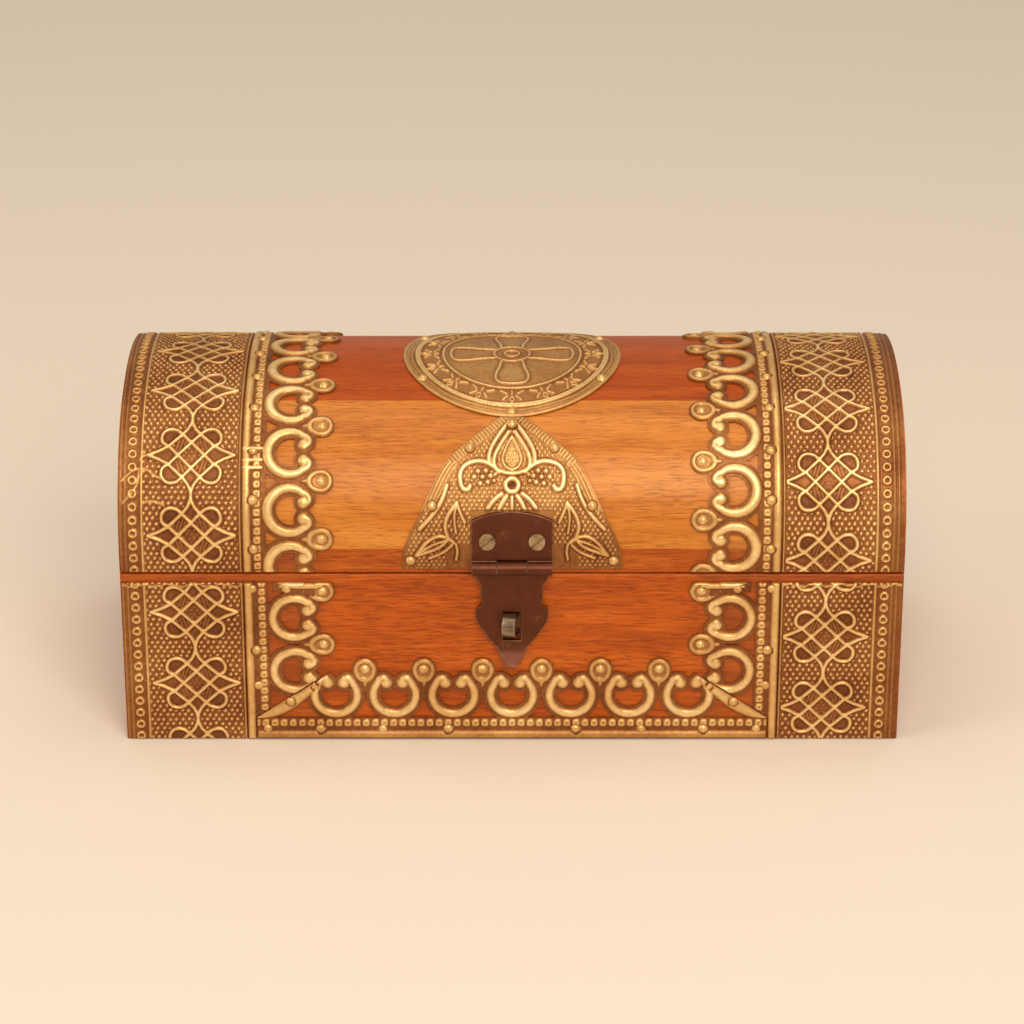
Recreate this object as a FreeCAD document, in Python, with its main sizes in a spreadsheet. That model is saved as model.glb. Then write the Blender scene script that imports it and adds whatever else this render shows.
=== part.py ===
import FreeCAD, Part
import math
import os
import Sketcher

# Small wooden chest with a barrel lid, pressed brass mounts, an iron hasp and two butt hinges.
# Millimetres, +Z up. The origin is the middle of the underside, X runs along the length, the front faces -Y.

SIZES = {
    # wooden box
    "length": 203.0,
    "depth": 91.0,
    "base_height": 48.0,
    "wall_thickness": 8.0,
    "end_thickness": 8.0,
    "bottom_thickness": 5.0,
    "rebate_depth": 3.5,
    "rim_round": 0.6,
    # barrel lid, its height from rim to crown; the crown angle is half the arc of the top stave, in degrees
    "seam_gap": 0.3,
    "lid_height": 42.0,
    "lid_thickness": 8.0,
    "rail_height": 7.0,
    "crown_angle": 17.3,
    # brass sheet and where it stops short of the wood's edges
    "sheet_gauge": 0.5,
    "seat_gap": 0.05,
    "relief_height": 0.7,
    "sheet_gap": 0.2,
    "end_margin": 0.3,
    "lid_margin": 0.6,
    "rim_margin": 2.2,
    "foot_margin": 0.3,
    # knotwork bands and panels
    "band_width": 31.5,
    "rule_width": 0.8,
    "ring_row_width": 5.5,
    # scroll borders, measured across from the outer edge of the strip; angles in degrees
    "bar_width": 2.2,
    "web_width": 6.4,
    "scroll_centre": 12.2,
    "scroll_radius": 6.4,
    "scroll_stem": 2.4,
    "hollow_shift": 0.6,
    "scroll_flange": 0.8,
    "scroll_opening": 30.0,
    "bud_radius": 1.5,
    "bud_side": 2.2,
    "bud_rise": 3.7,
    "neck_width": 3.6,
    "eyelet_centre": 20.4,
    "eyelet_radius": 3.0,
    "lid_scroll_pitch": 15.0,
    "left_scroll_start": 2.3,
    "right_scroll_start": 7.4,
    "base_scroll_pitch": 15.4,
    "side_scroll_drop": 12.4,
    "mitre_rise": 6.4,
    "mitre_angle": 34.0,
    "strap_width": 3.0,
    # medallion on the crown and lotus plate on the lid's front, runs measured along the arch from the rim
    "medallion_radius": 28.8,
    "medallion_ring": 25.2,
    "medallion_hub_ring": 17.8,
    "medallion_pin_circle": 27.0,
    "petal_root": 4.6,
    "petal_tip": 15.6,
    "petal_bulge": 3.4,
    "petal_root_width": 5.6,
    "petal_width": 8.8,
    "petal_line": 0.9,
    "petal_ring": 5.0,
    "hub_radius": 1.9,
    "lotus_foot": 1.6,
    "lotus_apex": 45.4,
    "lotus_half_width": 28.4,
    "lotus_flare_run": 7.0,
    "lotus_shoulder_run": 29.8,
    "lotus_shoulder_half": 17.8,
    "lotus_waist_run": 18.5,
    "lotus_waist_half": 22.8,
    "lotus_pin_inset": 2.2,
    # brass pins
    "pin_head_radius": 1.3,
    "pin_head_height": 0.8,
    "pin_shank_radius": 0.5,
    "pin_length": 5.0,
    "web_pin_line": 2.8,
    "web_pin_pitch": 30.0,
    "lid_pin_pitch": 12.6,
    # hasp: leaf on the lid, swinging plate and staple; drops are measured down from the base's rim
    "iron_gauge": 1.2,
    "leaf_clearance": 0.1,
    "hasp_width": 20.8,
    "leaf_corner_run": 14.8,
    "leaf_top_run": 17.1,
    "hasp_knuckle_radius": 1.8,
    "hasp_axis_height": 2.8,
    "hasp_knuckle_length": 7.6,
    "knuckle_gap": 0.15,
    "hinge_pin_radius": 0.8,
    "running_clearance": 0.05,
    "shoulder_gap": 0.4,
    "plate_shoulder_half": 8.6,
    "plate_waist_drop": 8.2,
    "plate_waist_half": 7.4,
    "plate_flare_drop": 10.4,
    "plate_flare_half": 9.3,
    "plate_taper_drop": 14.2,
    "plate_taper_half": 8.7,
    "plate_bend_drop": 20.4,
    "plate_bend_half": 4.0,
    "lip_length": 5.2,
    "lip_angle": 30.0,
    "lip_half": 2.2,
    "slot_width": 4.3,
    "slot_top_drop": 9.8,
    "slot_bottom_drop": 18.3,
    "staple_width": 3.7,
    "staple_gauge": 1.0,
    "staple_radius": 3.1,
    "staple_reach": 3.4,
    "staple_drop": 13.3,
    "staple_leg": 6.0,
    "hasp_screw_run": 9.8,
    "hasp_screw_side": 6.4,
    "hasp_screw_head": 2.1,
    "hasp_screw_rise": 0.9,
    "hasp_screw_slot": 0.7,
    "screw_shank_radius": 0.9,
    "screw_length": 6.0,
    "screw_hole_clearance": 0.1,
    # butt hinges on the back
    "hinge_border_gap": 5.1,
    "hinge_length": 22.0,
    "hinge_leaf_height": 6.7,
    "hinge_gauge": 1.0,
    "hinge_knuckle_radius": 1.7,
    "hinge_wood_gap": 0.3,
    "hinge_screw_height": 4.4,
    "hinge_screw_side": 6.5,
    "hinge_screw_head": 1.6,
}

doc = FreeCAD.newDocument("barrel_chest")
sheet = doc.addObject("Spreadsheet::Sheet", "sizes")
for row, (alias, value) in enumerate(SIZES.items(), start=1):
    sheet.set(f"A{row}", alias.replace("_", " "))
    sheet.set(f"B{row}", str(value))
    sheet.setAlias(f"B{row}", alias)
doc.recompute()

Vector = FreeCAD.Vector
ALONG_X, ALONG_Y, ALONG_Z = Vector(1, 0, 0), Vector(0, 1, 0), Vector(0, 0, 1)
subparts = []


def number(expression):
    """The value of a sheet expression."""
    found = sheet.evalExpression(str(expression))
    return float(getattr(found, "Value", found))


def size(alias):
    return number(f"sizes.{alias}")


def keep(piece, name):
    """Count an object as a sub-part of the chest under its own name."""
    piece.Label = name
    subparts.append(piece)
    return piece


# Places that several pieces share, as expressions on the sheet.
HALF_LENGTH = "(sizes.length / 2)"
BACK = "(sizes.depth / 2)"
FRONT = "(-sizes.depth / 2)"
LID_RIM = "(sizes.base_height + sizes.seam_gap)"
SPRING = f"({LID_RIM} + sizes.rail_height)"
RISE = "(sizes.lid_height - sizes.rail_height)"
SINE = "sin(sizes.crown_angle * 1 deg)"
COSINE = "cos(sizes.crown_angle * 1 deg)"
CROWN_RADIUS = f"(({BACK} * {COSINE} - {RISE} * (1 - {SINE})) / ({SINE} + {COSINE} - 1))"
SHOULDER_RADIUS = f"(({RISE} * {SINE} - {BACK} * (1 - {COSINE})) / ({SINE} + {COSINE} - 1))"
CROWN_HEIGHT = f"({LID_RIM} + sizes.lid_height - {CROWN_RADIUS})"
SHEET_TOP = "(sizes.seat_gap + sizes.sheet_gauge)"
RELIEF_TOP = f"({SHEET_TOP} + sizes.relief_height)"
BAND_START = f"({HALF_LENGTH} - sizes.end_margin)"
STRIP_EDGE = f"({BAND_START} - sizes.band_width - sizes.sheet_gap)"
LEAF_SEAT = f"({SHEET_TOP} + sizes.leaf_clearance)"
LEAF_FACE = f"({LEAF_SEAT} + sizes.iron_gauge)"
HASP_AXIS_Y = f"({FRONT} - {LEAF_SEAT} - sizes.hasp_knuckle_radius)"
HASP_AXIS_Z = "(sizes.base_height + sizes.hasp_axis_height)"
HINGE_AXIS_Y = f"({BACK} + sizes.hinge_wood_gap + sizes.hinge_knuckle_radius)"
HINGE_AXIS_Z = "(sizes.base_height + sizes.seam_gap / 2)"
BORE = "(sizes.hinge_pin_radius + sizes.running_clearance)"


# Sketches, pads and solids bound to the sheet.
def new_sketch(body, name, plane, offset="0"):
    sketch = body.newObject("Sketcher::SketchObject", name)
    support = next(feature for feature in body.Origin.OriginFeatures if feature.Role == plane)
    sketch.AttachmentSupport = [(support, "")]
    sketch.MapMode = "FlatFace"
    sketch.setExpression("AttachmentOffset.Base.z", offset)
    return sketch


def outline(sketch, corners):
    """Close an outline of (x, y) corners; an arc follows a corner that also has its radius and its turn."""
    spots = [Vector(number(corner[0]), number(corner[1]), 0) for corner in corners]
    ends = []
    for place, corner in enumerate(corners):
        start, stop = spots[place], spots[(place + 1) % len(spots)]
        if len(corner) == 2:
            edge = sketch.addGeometry(Part.LineSegment(start, stop), False)
            ends.append((edge, 1, 2))
            continue
        radius, turn = number(corner[2]), corner[3]
        chord = stop - start
        lift = math.sqrt(max(radius ** 2 - (chord.Length / 2) ** 2, 0.0))
        centre = (start + stop) / 2 + Vector(-chord.y, chord.x, 0).normalize() * lift * turn
        first, last = (start, stop) if turn > 0 else (stop, start)
        angles = [math.atan2(spot.y - centre.y, spot.x - centre.x) for spot in (first, last)]
        arc = Part.ArcOfCircle(Part.Circle(centre, ALONG_Z, radius), *angles)
        edge = sketch.addGeometry(arc, False)
        ends.append((edge, 1, 2) if turn > 0 else (edge, 2, 1))
    for place, (edge, begin, end) in enumerate(ends):
        following = ends[(place + 1) % len(ends)]
        corner = corners[place]
        sketch.addConstraint(Sketcher.Constraint("Coincident", edge, end, following[0], following[1]))
        for kind, expression in zip(("DistanceX", "DistanceY"), corner):
            pinned = sketch.addConstraint(Sketcher.Constraint(kind, -1, 1, edge, begin, number(expression)))
            sketch.setExpression(f"Constraints[{pinned}]", str(expression))
        if len(corner) > 2:
            pinned = sketch.addConstraint(Sketcher.Constraint("Radius", edge, number(corner[2])))
            sketch.setExpression(f"Constraints[{pinned}]", str(corner[2]))


def rectangle(left, low, right, high):
    return [(left, low), (right, low), (right, high), (left, high)]


def pad(body, name, plane, corners, length, offset="0", symmetric=False):
    sketch = new_sketch(body, f"{name}_outline", plane, offset)
    outline(sketch, corners)
    feature = body.newObject("PartDesign::Pad", name)
    feature.Profile = sketch
    feature.SideType = "Symmetric" if symmetric else "One side"
    feature.setExpression("Length", length)
    doc.recompute()
    return feature


def pocket(body, name, plane, corners, depth):
    """Cut upwards from a plane, and make sure that something was cut."""
    before = body.Shape.Volume
    sketch = new_sketch(body, f"{name}_outline", plane)
    outline(sketch, corners)
    feature = body.newObject("PartDesign::Pocket", name)
    feature.Profile = sketch
    feature.Reversed = True
    feature.setExpression("Length", depth)
    doc.recompute()
    if body.Shape.Volume >= before:
        raise ValueError(f"{name} cut nothing")
    return feature


def round_edge(body, name, y, z):
    """Round the long edge at one height and depth by the rim's radius."""
    edges = [f"Edge{place}" for place, edge in enumerate(body.Shape.Edges, start=1)
             if all(abs(end.Y - y) < 1e-6 and abs(end.Z - z) < 1e-6 for end in edge.Vertexes)]
    unrounded = body.Tip
    fillet = body.newObject("PartDesign::Fillet", name)
    fillet.Base = (unrounded, edges)
    fillet.setExpression("Radius", "sizes.rim_round")
    doc.recompute()
    return fillet


def new_body(name):
    return doc.addObject("PartDesign::Body", name)


def stand(solid, start, axis=ALONG_Z):
    """Put a primitive's origin at a place, with its own Z along an axis."""
    solid.Placement = FreeCAD.Placement(Vector(), FreeCAD.Rotation(ALONG_Z, axis))
    for direction, expression in zip("xyz", start):
        solid.setExpression(f"Placement.Base.{direction}", expression)
    return solid


def block(name, corner, extent):
    """A rectangular solid from its lowest corner and its size along X, Y and Z."""
    solid = stand(doc.addObject("Part::Box", name), corner)
    for side, expression in zip(("Length", "Width", "Height"), extent):
        solid.setExpression(side, expression)
    return solid


def rod(name, start, radius, length, axis=ALONG_X):
    """A round bar from the middle of its first end."""
    solid = stand(doc.addObject("Part::Cylinder", name), start, axis)
    solid.setExpression("Radius", radius)
    solid.setExpression("Height", length)
    return solid


def joined(kind, name, pieces):
    solid = doc.addObject(kind, name)
    solid.Shapes = pieces
    solid.Refine = True
    return solid


def cut_away(name, solid, tools):
    cut = doc.addObject("Part::Cut", name)
    cut.Base = solid
    cut.Tool = joined("Part::MultiFuse", f"{name}_tools", tools)
    cut.Refine = True
    return cut


def loose(name, shape):
    """An object whose form is worked out from the sheet's values."""
    feature = doc.addObject("Part::Feature", name)
    feature.Shape = shape
    feature.Placement = FreeCAD.Placement()
    return feature


def shaped(name, shape):
    return keep(loose(name, shape), name)


# Base boards: front and back run the whole length, the ends and the bottom sit in their rebates.
TONGUE_END = f"({HALF_LENGTH} - sizes.end_thickness + sizes.rebate_depth)"
END_INSIDE = f"({HALF_LENGTH} - sizes.end_thickness)"
END_HALF = f"({BACK} - sizes.wall_thickness + sizes.rebate_depth)"
WALL_INSIDE = f"({BACK} - sizes.wall_thickness)"


def long_board(name, sign):
    """Front board for -1, back board for 1."""
    outer, mid, inner = (f"{sign} * {place}" for place in (BACK, END_HALF, WALL_INSIDE))
    body = new_body(name)
    half_plan = [(HALF_LENGTH, outer), (HALF_LENGTH, mid), (END_INSIDE, mid), (END_INSIDE, inner)]
    plan = half_plan + [(f"-{x}", y) for x, y in half_plan[::-1]]
    pad(body, f"{name}_board", "XY_Plane", plan, "sizes.base_height")
    rebate = rectangle(f"-{END_INSIDE}", mid, END_INSIDE, inner)
    pocket(body, f"{name}_rebate", "XY_Plane", rebate, "sizes.bottom_thickness")
    round_edge(body, f"{name}_rim", number(outer), size("base_height"))
    return keep(body, name)


def end_board(name, sign):
    """Left end for -1, right end for 1."""
    outer, mid, inner = (f"{sign} * {place}" for place in (HALF_LENGTH, TONGUE_END, END_INSIDE))
    body = new_body(name)
    plan = rectangle(outer, f"-{END_HALF}", inner, END_HALF)
    pad(body, f"{name}_board", "XY_Plane", plan, "sizes.base_height")
    rebate = rectangle(mid, f"-{END_HALF}", inner, END_HALF)
    pocket(body, f"{name}_rebate", "XY_Plane", rebate, "sizes.bottom_thickness")
    return keep(body, name)


long_board("base_front_panel", -1)
long_board("base_back_panel", 1)
end_board("base_left_end", -1)
end_board("base_right_end", 1)
bottom = new_body("base_bottom_panel")
bottom_plan = rectangle(f"-{TONGUE_END}", f"-{END_HALF}", TONGUE_END, END_HALF)
pad(bottom, "bottom_board", "XY_Plane", bottom_plan, "sizes.bottom_thickness")
keep(bottom, "base_bottom_panel")

# Lid boards: the section is a three-centred arch on two short straight rails.
LID_INNER = "(-sizes.lid_thickness)"
LID_INSIDE = f"({BACK} - sizes.lid_thickness)"


def arch_corner(sign, offset):
    """Where the shoulder meets the crown, at an offset outside the wood."""
    radius = f"({CROWN_RADIUS} + {offset})"
    return f"{sign} * {radius} * {SINE}", f"{CROWN_HEIGHT} + {radius} * {COSINE}"


def lid_rail(name, sign):
    outer, inner = f"{sign} * {BACK}", f"{sign} * {LID_INSIDE}"
    body = new_body(name)
    section = rectangle(outer, LID_RIM, inner, SPRING)
    pad(body, f"{name}_bar", "YZ_Plane", section, "sizes.length", symmetric=True)
    round_edge(body, f"{name}_rim", number(outer), number(LID_RIM))
    return keep(body, name)


def lid_stave(name, sign):
    inner_radius = f"({SHOULDER_RADIUS} + {LID_INNER})"
    section = [(f"{sign} * {BACK}", SPRING, SHOULDER_RADIUS, sign), arch_corner(sign, "0"),
               (*arch_corner(sign, LID_INNER), inner_radius, -sign), (f"{sign} * {LID_INSIDE}", SPRING)]
    body = new_body(name)
    pad(body, f"{name}_board", "YZ_Plane", section, "sizes.length", symmetric=True)
    return keep(body, name)


def arch_section(offset, low):
    """The closed outline of the arch at an offset, down to a low edge."""
    half = f"({BACK} + {offset})"
    shoulder, crown = f"({SHOULDER_RADIUS} + {offset})", f"({CROWN_RADIUS} + {offset})"
    return [(f"-{half}", low), (f"-{half}", SPRING, shoulder, -1), (*arch_corner(-1, offset), crown, -1),
            (*arch_corner(1, offset), shoulder, -1), (half, SPRING), (half, low)]


def lid_end(name, start):
    body = new_body(name)
    section = arch_section(f"({LID_INNER} - sizes.seat_gap)", LID_RIM)
    pad(body, f"{name}_board", "YZ_Plane", section, "sizes.end_thickness", offset=start)
    return keep(body, name)


lid_rail("lid_front_rail", -1)
lid_rail("lid_back_rail", 1)
lid_stave("lid_front_stave", -1)
lid_stave("lid_back_stave", 1)
top = new_body("lid_top_stave")
top_inner = (*arch_corner(1, LID_INNER), f"({CROWN_RADIUS} + {LID_INNER})", 1)
top_section = [(*arch_corner(-1, "0"), CROWN_RADIUS, -1), arch_corner(1, "0"), top_inner,
               arch_corner(-1, LID_INNER)]
pad(top, "top_board", "YZ_Plane", top_section, "sizes.length", symmetric=True)
keep(top, "lid_top_stave")
lid_end("lid_left_end", f"-{HALF_LENGTH}")
lid_end("lid_right_end", END_INSIDE)


# Knotwork bands over the lid and knotwork panels on the base, each with its raised rules.
def sheet_section(outer, low):
    """An arch of sheet metal between its seat and an outer offset."""
    outside, inside = arch_section(outer, low), arch_section("sizes.seat_gap", low)
    turned = [inside[5], inside[4][:2] + (inside[3][2], 1), inside[3][:2] + (inside[2][2], 1),
              inside[2][:2] + (inside[1][2], 1), inside[1][:2], inside[0]]
    return outside + turned


RULE_STARTS = ("0", "sizes.ring_row_width", "(sizes.band_width - sizes.rule_width)")


def band_spans(plain, raised):
    """Name, start, width and height of the sheet and of its raised rules."""
    spans = [("sheet", "0", "sizes.band_width", plain)]
    for place, start in enumerate(RULE_STARTS):
        spans.append((f"rule_{place}", start, "sizes.rule_width", raised))
    return spans


def lid_band(name, sign):
    body = new_body(name)
    low = f"({LID_RIM} + sizes.lid_margin)"
    for part, start, width, outer in band_spans(SHEET_TOP, RELIEF_TOP):
        begin = f"(-{BAND_START} + {start})" if sign < 0 else f"({BAND_START} - {start} - {width})"
        pad(body, f"{name}_{part}", "YZ_Plane", sheet_section(outer, low), width, offset=begin)
    return keep(body, name)


def base_panel(name, sign):
    body = new_body(name)
    low, high = "sizes.foot_margin", "(sizes.base_height - sizes.rim_margin)"
    raised = "(sizes.sheet_gauge + sizes.relief_height)"
    for part, start, width, thickness in band_spans("sizes.sheet_gauge", raised):
        outer = f"{sign} * ({BAND_START} - {start})"
        inner = f"{sign} * ({BAND_START} - {start} - {width})"
        section = rectangle(outer, low, inner, high)
        pad(body, f"{name}_{part}", "XZ_Plane", section, thickness, offset=f"({BACK} + sizes.seat_gap)")
    return keep(body, name)


lid_band("lid_left_band", -1)
lid_band("lid_right_band", 1)
base_panel("base_left_panel", -1)
base_panel("base_right_panel", 1)

# Run along the arch, from the front rim over the crown to the back rim.
rail_run = size("rail_height")
front_y, back_y = number(FRONT), number(BACK)
rim_z, spring_z = number(LID_RIM), number(SPRING)
crown_radius, shoulder_radius = number(CROWN_RADIUS), number(SHOULDER_RADIUS)
crown_half = math.radians(size("crown_angle"))
shoulder_sweep = math.pi / 2 - crown_half
shoulder_end = rail_run + shoulder_radius * shoulder_sweep
crown_end = shoulder_end + 2 * crown_radius * crown_half
arch_run = crown_end + shoulder_end
arch_bends = (rail_run, shoulder_end, crown_end, arch_run - rail_run)
crown_run = arch_run / 2


def arch_tilt(run):
    """How far the outward direction has turned from the front, in radians."""
    if run > crown_run:
        return math.pi - arch_tilt(arch_run - run)
    if run <= rail_run:
        return 0.0
    if run <= shoulder_end:
        return (run - rail_run) / shoulder_radius
    return shoulder_sweep + (run - shoulder_end) / crown_radius


def outward(run):
    tilt = arch_tilt(run)
    return Vector(0, -math.cos(tilt), math.sin(tilt))


def arch_point(run, offset, x=0.0):
    """The place at a run along the arch and an offset outside the wood."""
    if run > crown_run:
        mirrored = arch_point(arch_run - run, offset, x)
        return Vector(x, -mirrored.y, mirrored.z)
    if run <= rail_run:
        return Vector(x, front_y - offset, rim_z + run)
    if run <= shoulder_end:
        return Vector(x, front_y + shoulder_radius, spring_z) + outward(run) * (shoulder_radius + offset)
    return Vector(x, 0, number(CROWN_HEIGHT)) + outward(run) * (crown_radius + offset)


def arch_edges(offset, start, stop):
    """Straight and round edges along the arch from one run to another."""
    runs = [start] + [bend for bend in arch_bends if start < bend < stop] + [stop]
    edges = []
    for first, last in zip(runs, runs[1:]):
        begin, end = arch_point(first, offset), arch_point(last, offset)
        if last <= rail_run or first >= arch_run - rail_run:
            edges.append(Part.LineSegment(begin, end).toShape())
        else:
            edges.append(Part.Arc(begin, arch_point((first + last) / 2, offset), end).toShape())
    return edges


def arch_sheet(left, right, inner, outer, start, stop):
    """A bent sheet between two places along X, two offsets and two runs."""
    first, last = (Part.LineSegment(arch_point(run, inner), arch_point(run, outer)).toShape()
                   for run in (start, stop))
    loop = arch_edges(inner, start, stop) + [last] + arch_edges(outer, start, stop)[::-1] + [first]
    face = Part.Face(Part.Wire(loop))
    face.translate(Vector(min(left, right), 0, 0))
    return face.extrude(Vector(abs(right - left), 0, 0))


def frame_at(spot, across, out):
    """A local frame with z outwards and y across."""
    return FreeCAD.Placement(spot, FreeCAD.Rotation(across.cross(out), across, out, "ZYX"))


def arch_frame(x, run, inward, offset):
    """A frame on the lid whose y points along X for 1 and against X for -1."""
    return frame_at(arch_point(run, offset, x), Vector(inward, 0, 0), outward(run))


def front_frame(x, z, across, offset):
    """A frame on the base's front."""
    return frame_at(Vector(x, front_y - offset, z), across, Vector(0, -1, 0))


def placed(shape, frame):
    moved = shape.copy()
    moved.Placement = frame
    return moved


def largest(shape):
    """The piece itself, without the crumbs that a cut leaves at a rim."""
    return max(shape.removeSplitter().Solids, key=lambda solid: solid.Volume)


# Brass pins: a domed head on a plain shank, driven through the sheet into the wood.
REACH = 4.0
seat, gauge = size("seat_gap"), size("sheet_gauge")
sheet_top, relief_top = number(SHEET_TOP), number(RELIEF_TOP)


def brass_pin():
    head, rise = size("pin_head_radius"), size("pin_head_height")
    ball = (head ** 2 + rise ** 2) / (2 * rise)
    dome = Part.makeSphere(ball, Vector(0, 0, rise - ball)).common(Part.makeCylinder(2 * head, rise))
    length = size("pin_length")
    shank = Part.makeCylinder(size("pin_shank_radius"), length, Vector(0, 0, -length))
    return dome.fuse(shank).removeSplitter().Solids[0]


def holes_for(frames, radius):
    """Holes through the sheet at some frames."""
    hole = Part.makeCylinder(radius + size("running_clearance"), 2 * REACH, Vector(0, 0, -REACH))
    return Part.makeCompound([placed(hole, frame) for frame in frames])


def pins(name, frames):
    driven = brass_pin()
    return shaped(name, Part.makeCompound([placed(driven, frame) for frame in frames]))


def pierced(name, shape, frames):
    """A sheet with a hole for each pin, and a flat for each pin's head where the relief stands higher."""
    flat = Part.makeCylinder(size("pin_head_radius") + size("running_clearance"), REACH)
    flats = Part.makeCompound([placed(flat, frame) for frame in frames])
    return shaped(name, largest(shape.cut(flats).cut(holes_for(frames, size("pin_shank_radius")))))


def steps_along(start, stop, pitch):
    """Even places between two ends, near a given pitch."""
    count = max(1, round((stop - start) / pitch))
    return [start + (stop - start) * (step + 0.5) / count for step in range(count)]


# Scroll borders, the chest's main ornament: a bar and a web carry pierced C-scrolls with curled ends, and
# an eyelet on a neck stands between each two scrolls.
strip_edge = number(STRIP_EDGE)
scroll_line = size("scroll_centre")
eyelet_rise = size("eyelet_centre") - scroll_line
border_width = size("eyelet_centre") + size("eyelet_radius")
web_line = size("web_pin_line")


def scroll(low, high, margin=0.0):
    """One C-scroll about its own centre, open towards +y, between two heights, widened by a margin."""
    outer, foot_spot, tall = size("scroll_radius"), Vector(0, 0, low), high - low
    opening = size("scroll_opening") - math.degrees(margin / outer)
    ring = Part.makeCylinder(outer + margin, tall, foot_spot, ALONG_Z, 360 - 2 * opening)
    ring.rotate(Vector(), ALONG_Z, 90 + opening)
    hollow = outer - size("scroll_stem") - margin
    ring = ring.cut(Part.makeCylinder(hollow, tall, Vector(0, size("hollow_shift"), low)))
    ends = [Vector(side * size("bud_side"), size("bud_rise"), low) for side in (-1, 1)]
    return ring.fuse([Part.makeCylinder(size("bud_radius") + margin, tall, end) for end in ends])


def eyelet(low, high):
    """An eyelet and its neck, drawn from the middle line of the scrolls."""
    tall, width = high - low, size("neck_width")
    neck = Part.makeBox(width, eyelet_rise, tall, Vector(-width / 2, 0, low))
    return neck.fuse(Part.makeCylinder(size("eyelet_radius"), tall, Vector(0, eyelet_rise, low)))


def scroll_runs(begin):
    """Runs of the scrolls of a lid border along the arch."""
    pitch = size("lid_scroll_pitch")
    return [begin + pitch * step for step in range(math.ceil((arch_run - begin) / pitch))]


def eyelet_runs(begin):
    """Runs of the eyelets that keep clear of both rims."""
    pitch, clear = size("lid_scroll_pitch"), size("lid_margin") + size("eyelet_radius")
    runs = [run - pitch / 2 for run in scroll_runs(begin) + [arch_run]]
    return [run for run in runs[:-1] if clear < run < arch_run - clear]


def lid_pin_frames(inward, begin):
    eyelet_x, web_x = (inward * (across - strip_edge) for across in (size("eyelet_centre"), web_line))
    web_runs = steps_along(size("lid_margin"), arch_run - size("lid_margin"), size("lid_pin_pitch"))
    places = [(eyelet_x, run) for run in eyelet_runs(begin)] + [(web_x, run) for run in web_runs]
    return [arch_frame(x, run, inward, sheet_top) for x, run in places]


def lid_border(side_name, inward, begin):
    """A border bent over the lid and its pins; inward is 1 on the left and -1 on the right."""
    first, last = size("lid_margin"), arch_run - size("lid_margin")
    edge, bar_end, web_end, tip, middle = (
        inward * (across - strip_edge)
        for across in (0, size("bar_width"), size("web_width"), border_width, scroll_line))
    spots = [arch_frame(middle, run, inward, 0) for run in scroll_runs(begin)]
    rings = [placed(scroll(-REACH, REACH), spot) for spot in spots]
    skirts = [placed(scroll(-gauge, REACH, size("scroll_flange")), spot) for spot in spots]
    necks = [placed(eyelet(-REACH, REACH), arch_frame(middle, run, inward, 0)) for run in eyelet_runs(begin)]
    raised = arch_sheet(edge, tip, seat, relief_top, first, last).common(Part.makeCompound(rings))
    plain = arch_sheet(edge, tip, seat, sheet_top, first, last).common(necks[0].fuse(necks[1:] + skirts))
    bar = arch_sheet(edge, bar_end, seat, relief_top, first, last)
    web = arch_sheet(edge, web_end, seat, sheet_top, first, last)
    frames = lid_pin_frames(inward, begin)
    flat_strip = web.fuse(plain.Solids).removeSplitter()
    pierced(f"lid_{side_name}_scrolls", flat_strip.fuse([bar] + raised.Solids), frames)
    pins(f"lid_{side_name}_pins", frames)


lid_border("left", 1, size("left_scroll_start"))
lid_border("right", -1, size("right_scroll_start"))

# Borders on the base's front: two upright strips, and one along the foot whose ends lie on the mitre.
foot = size("foot_margin")
brass_top = size("base_height") - size("rim_margin")
raised_gauge = gauge + size("relief_height")
flat_scroll, flat_eyelet = scroll(0, raised_gauge), eyelet(0, gauge)
flat_flange = scroll(0, gauge, size("scroll_flange"))
base_pitch = size("base_scroll_pitch")
corner_x = strip_edge - size("bar_width") - size("sheet_gap")
side_inner = strip_edge - border_width
side_scrolls = [size("base_height") - size("side_scroll_drop") - base_pitch * step for step in range(2)]
side_eyelets = [z + base_pitch / 2 for z in side_scrolls]
foot_count = int((corner_x - 2 * size("scroll_radius")) / base_pitch)
foot_scrolls = [base_pitch * step for step in range(-foot_count, foot_count + 1)]
foot_eyelets = [x + base_pitch / 2 for x in foot_scrolls[:-1] if abs(x + base_pitch / 2) < side_inner]


def mitre_height(x):
    """Height of the mitre line at a distance from the middle."""
    return foot + size("mitre_rise") + (corner_x - abs(x)) * math.tan(math.radians(size("mitre_angle")))


def front_slab(left, low, right, high, thickness):
    """A flat piece of the borders on the base's front."""
    corner = Vector(min(left, right), front_y - seat - thickness, low)
    return Part.makeBox(abs(right - left), thickness, high - low, corner)


def above_mitre(side, drop):
    """The part of the front that lies above one mitre line, lowered by a drop."""
    spots = [(corner_x, mitre_height(corner_x) - drop), (side_inner, mitre_height(side_inner) - drop),
             (side_inner, size("base_height")), (corner_x, size("base_height"))]
    loop = Part.makePolygon([Vector(side * x, front_y + REACH, z) for x, z in spots + spots[:1]])
    return Part.Face(loop).extrude(Vector(0, -2 * REACH, 0))


def side_pin_frames(side):
    across = Vector(-side, 0, 0)
    eyelet_x, web_x = side * (strip_edge - size("eyelet_centre")), side * (strip_edge - web_line)
    web_places = steps_along(mitre_height(corner_x), brass_top, size("web_pin_pitch"))
    places = [(eyelet_x, z) for z in side_eyelets] + [(web_x, z) for z in web_places]
    return [front_frame(x, z, across, sheet_top) for x, z in places]


def foot_pin_frames():
    places = [(x, foot + size("eyelet_centre")) for x in foot_eyelets]
    places += [(x, foot + web_line) for x in steps_along(-corner_x, corner_x, size("web_pin_pitch"))]
    for share in (0.43, 0.75):
        x = corner_x + (side_inner - corner_x) * share
        z = mitre_height(x) - size("sheet_gap") - size("strap_width") / 2
        places += [(-x, z), (x, z)]
    return [front_frame(x, z, ALONG_Z, sheet_top) for x, z in places]


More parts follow.
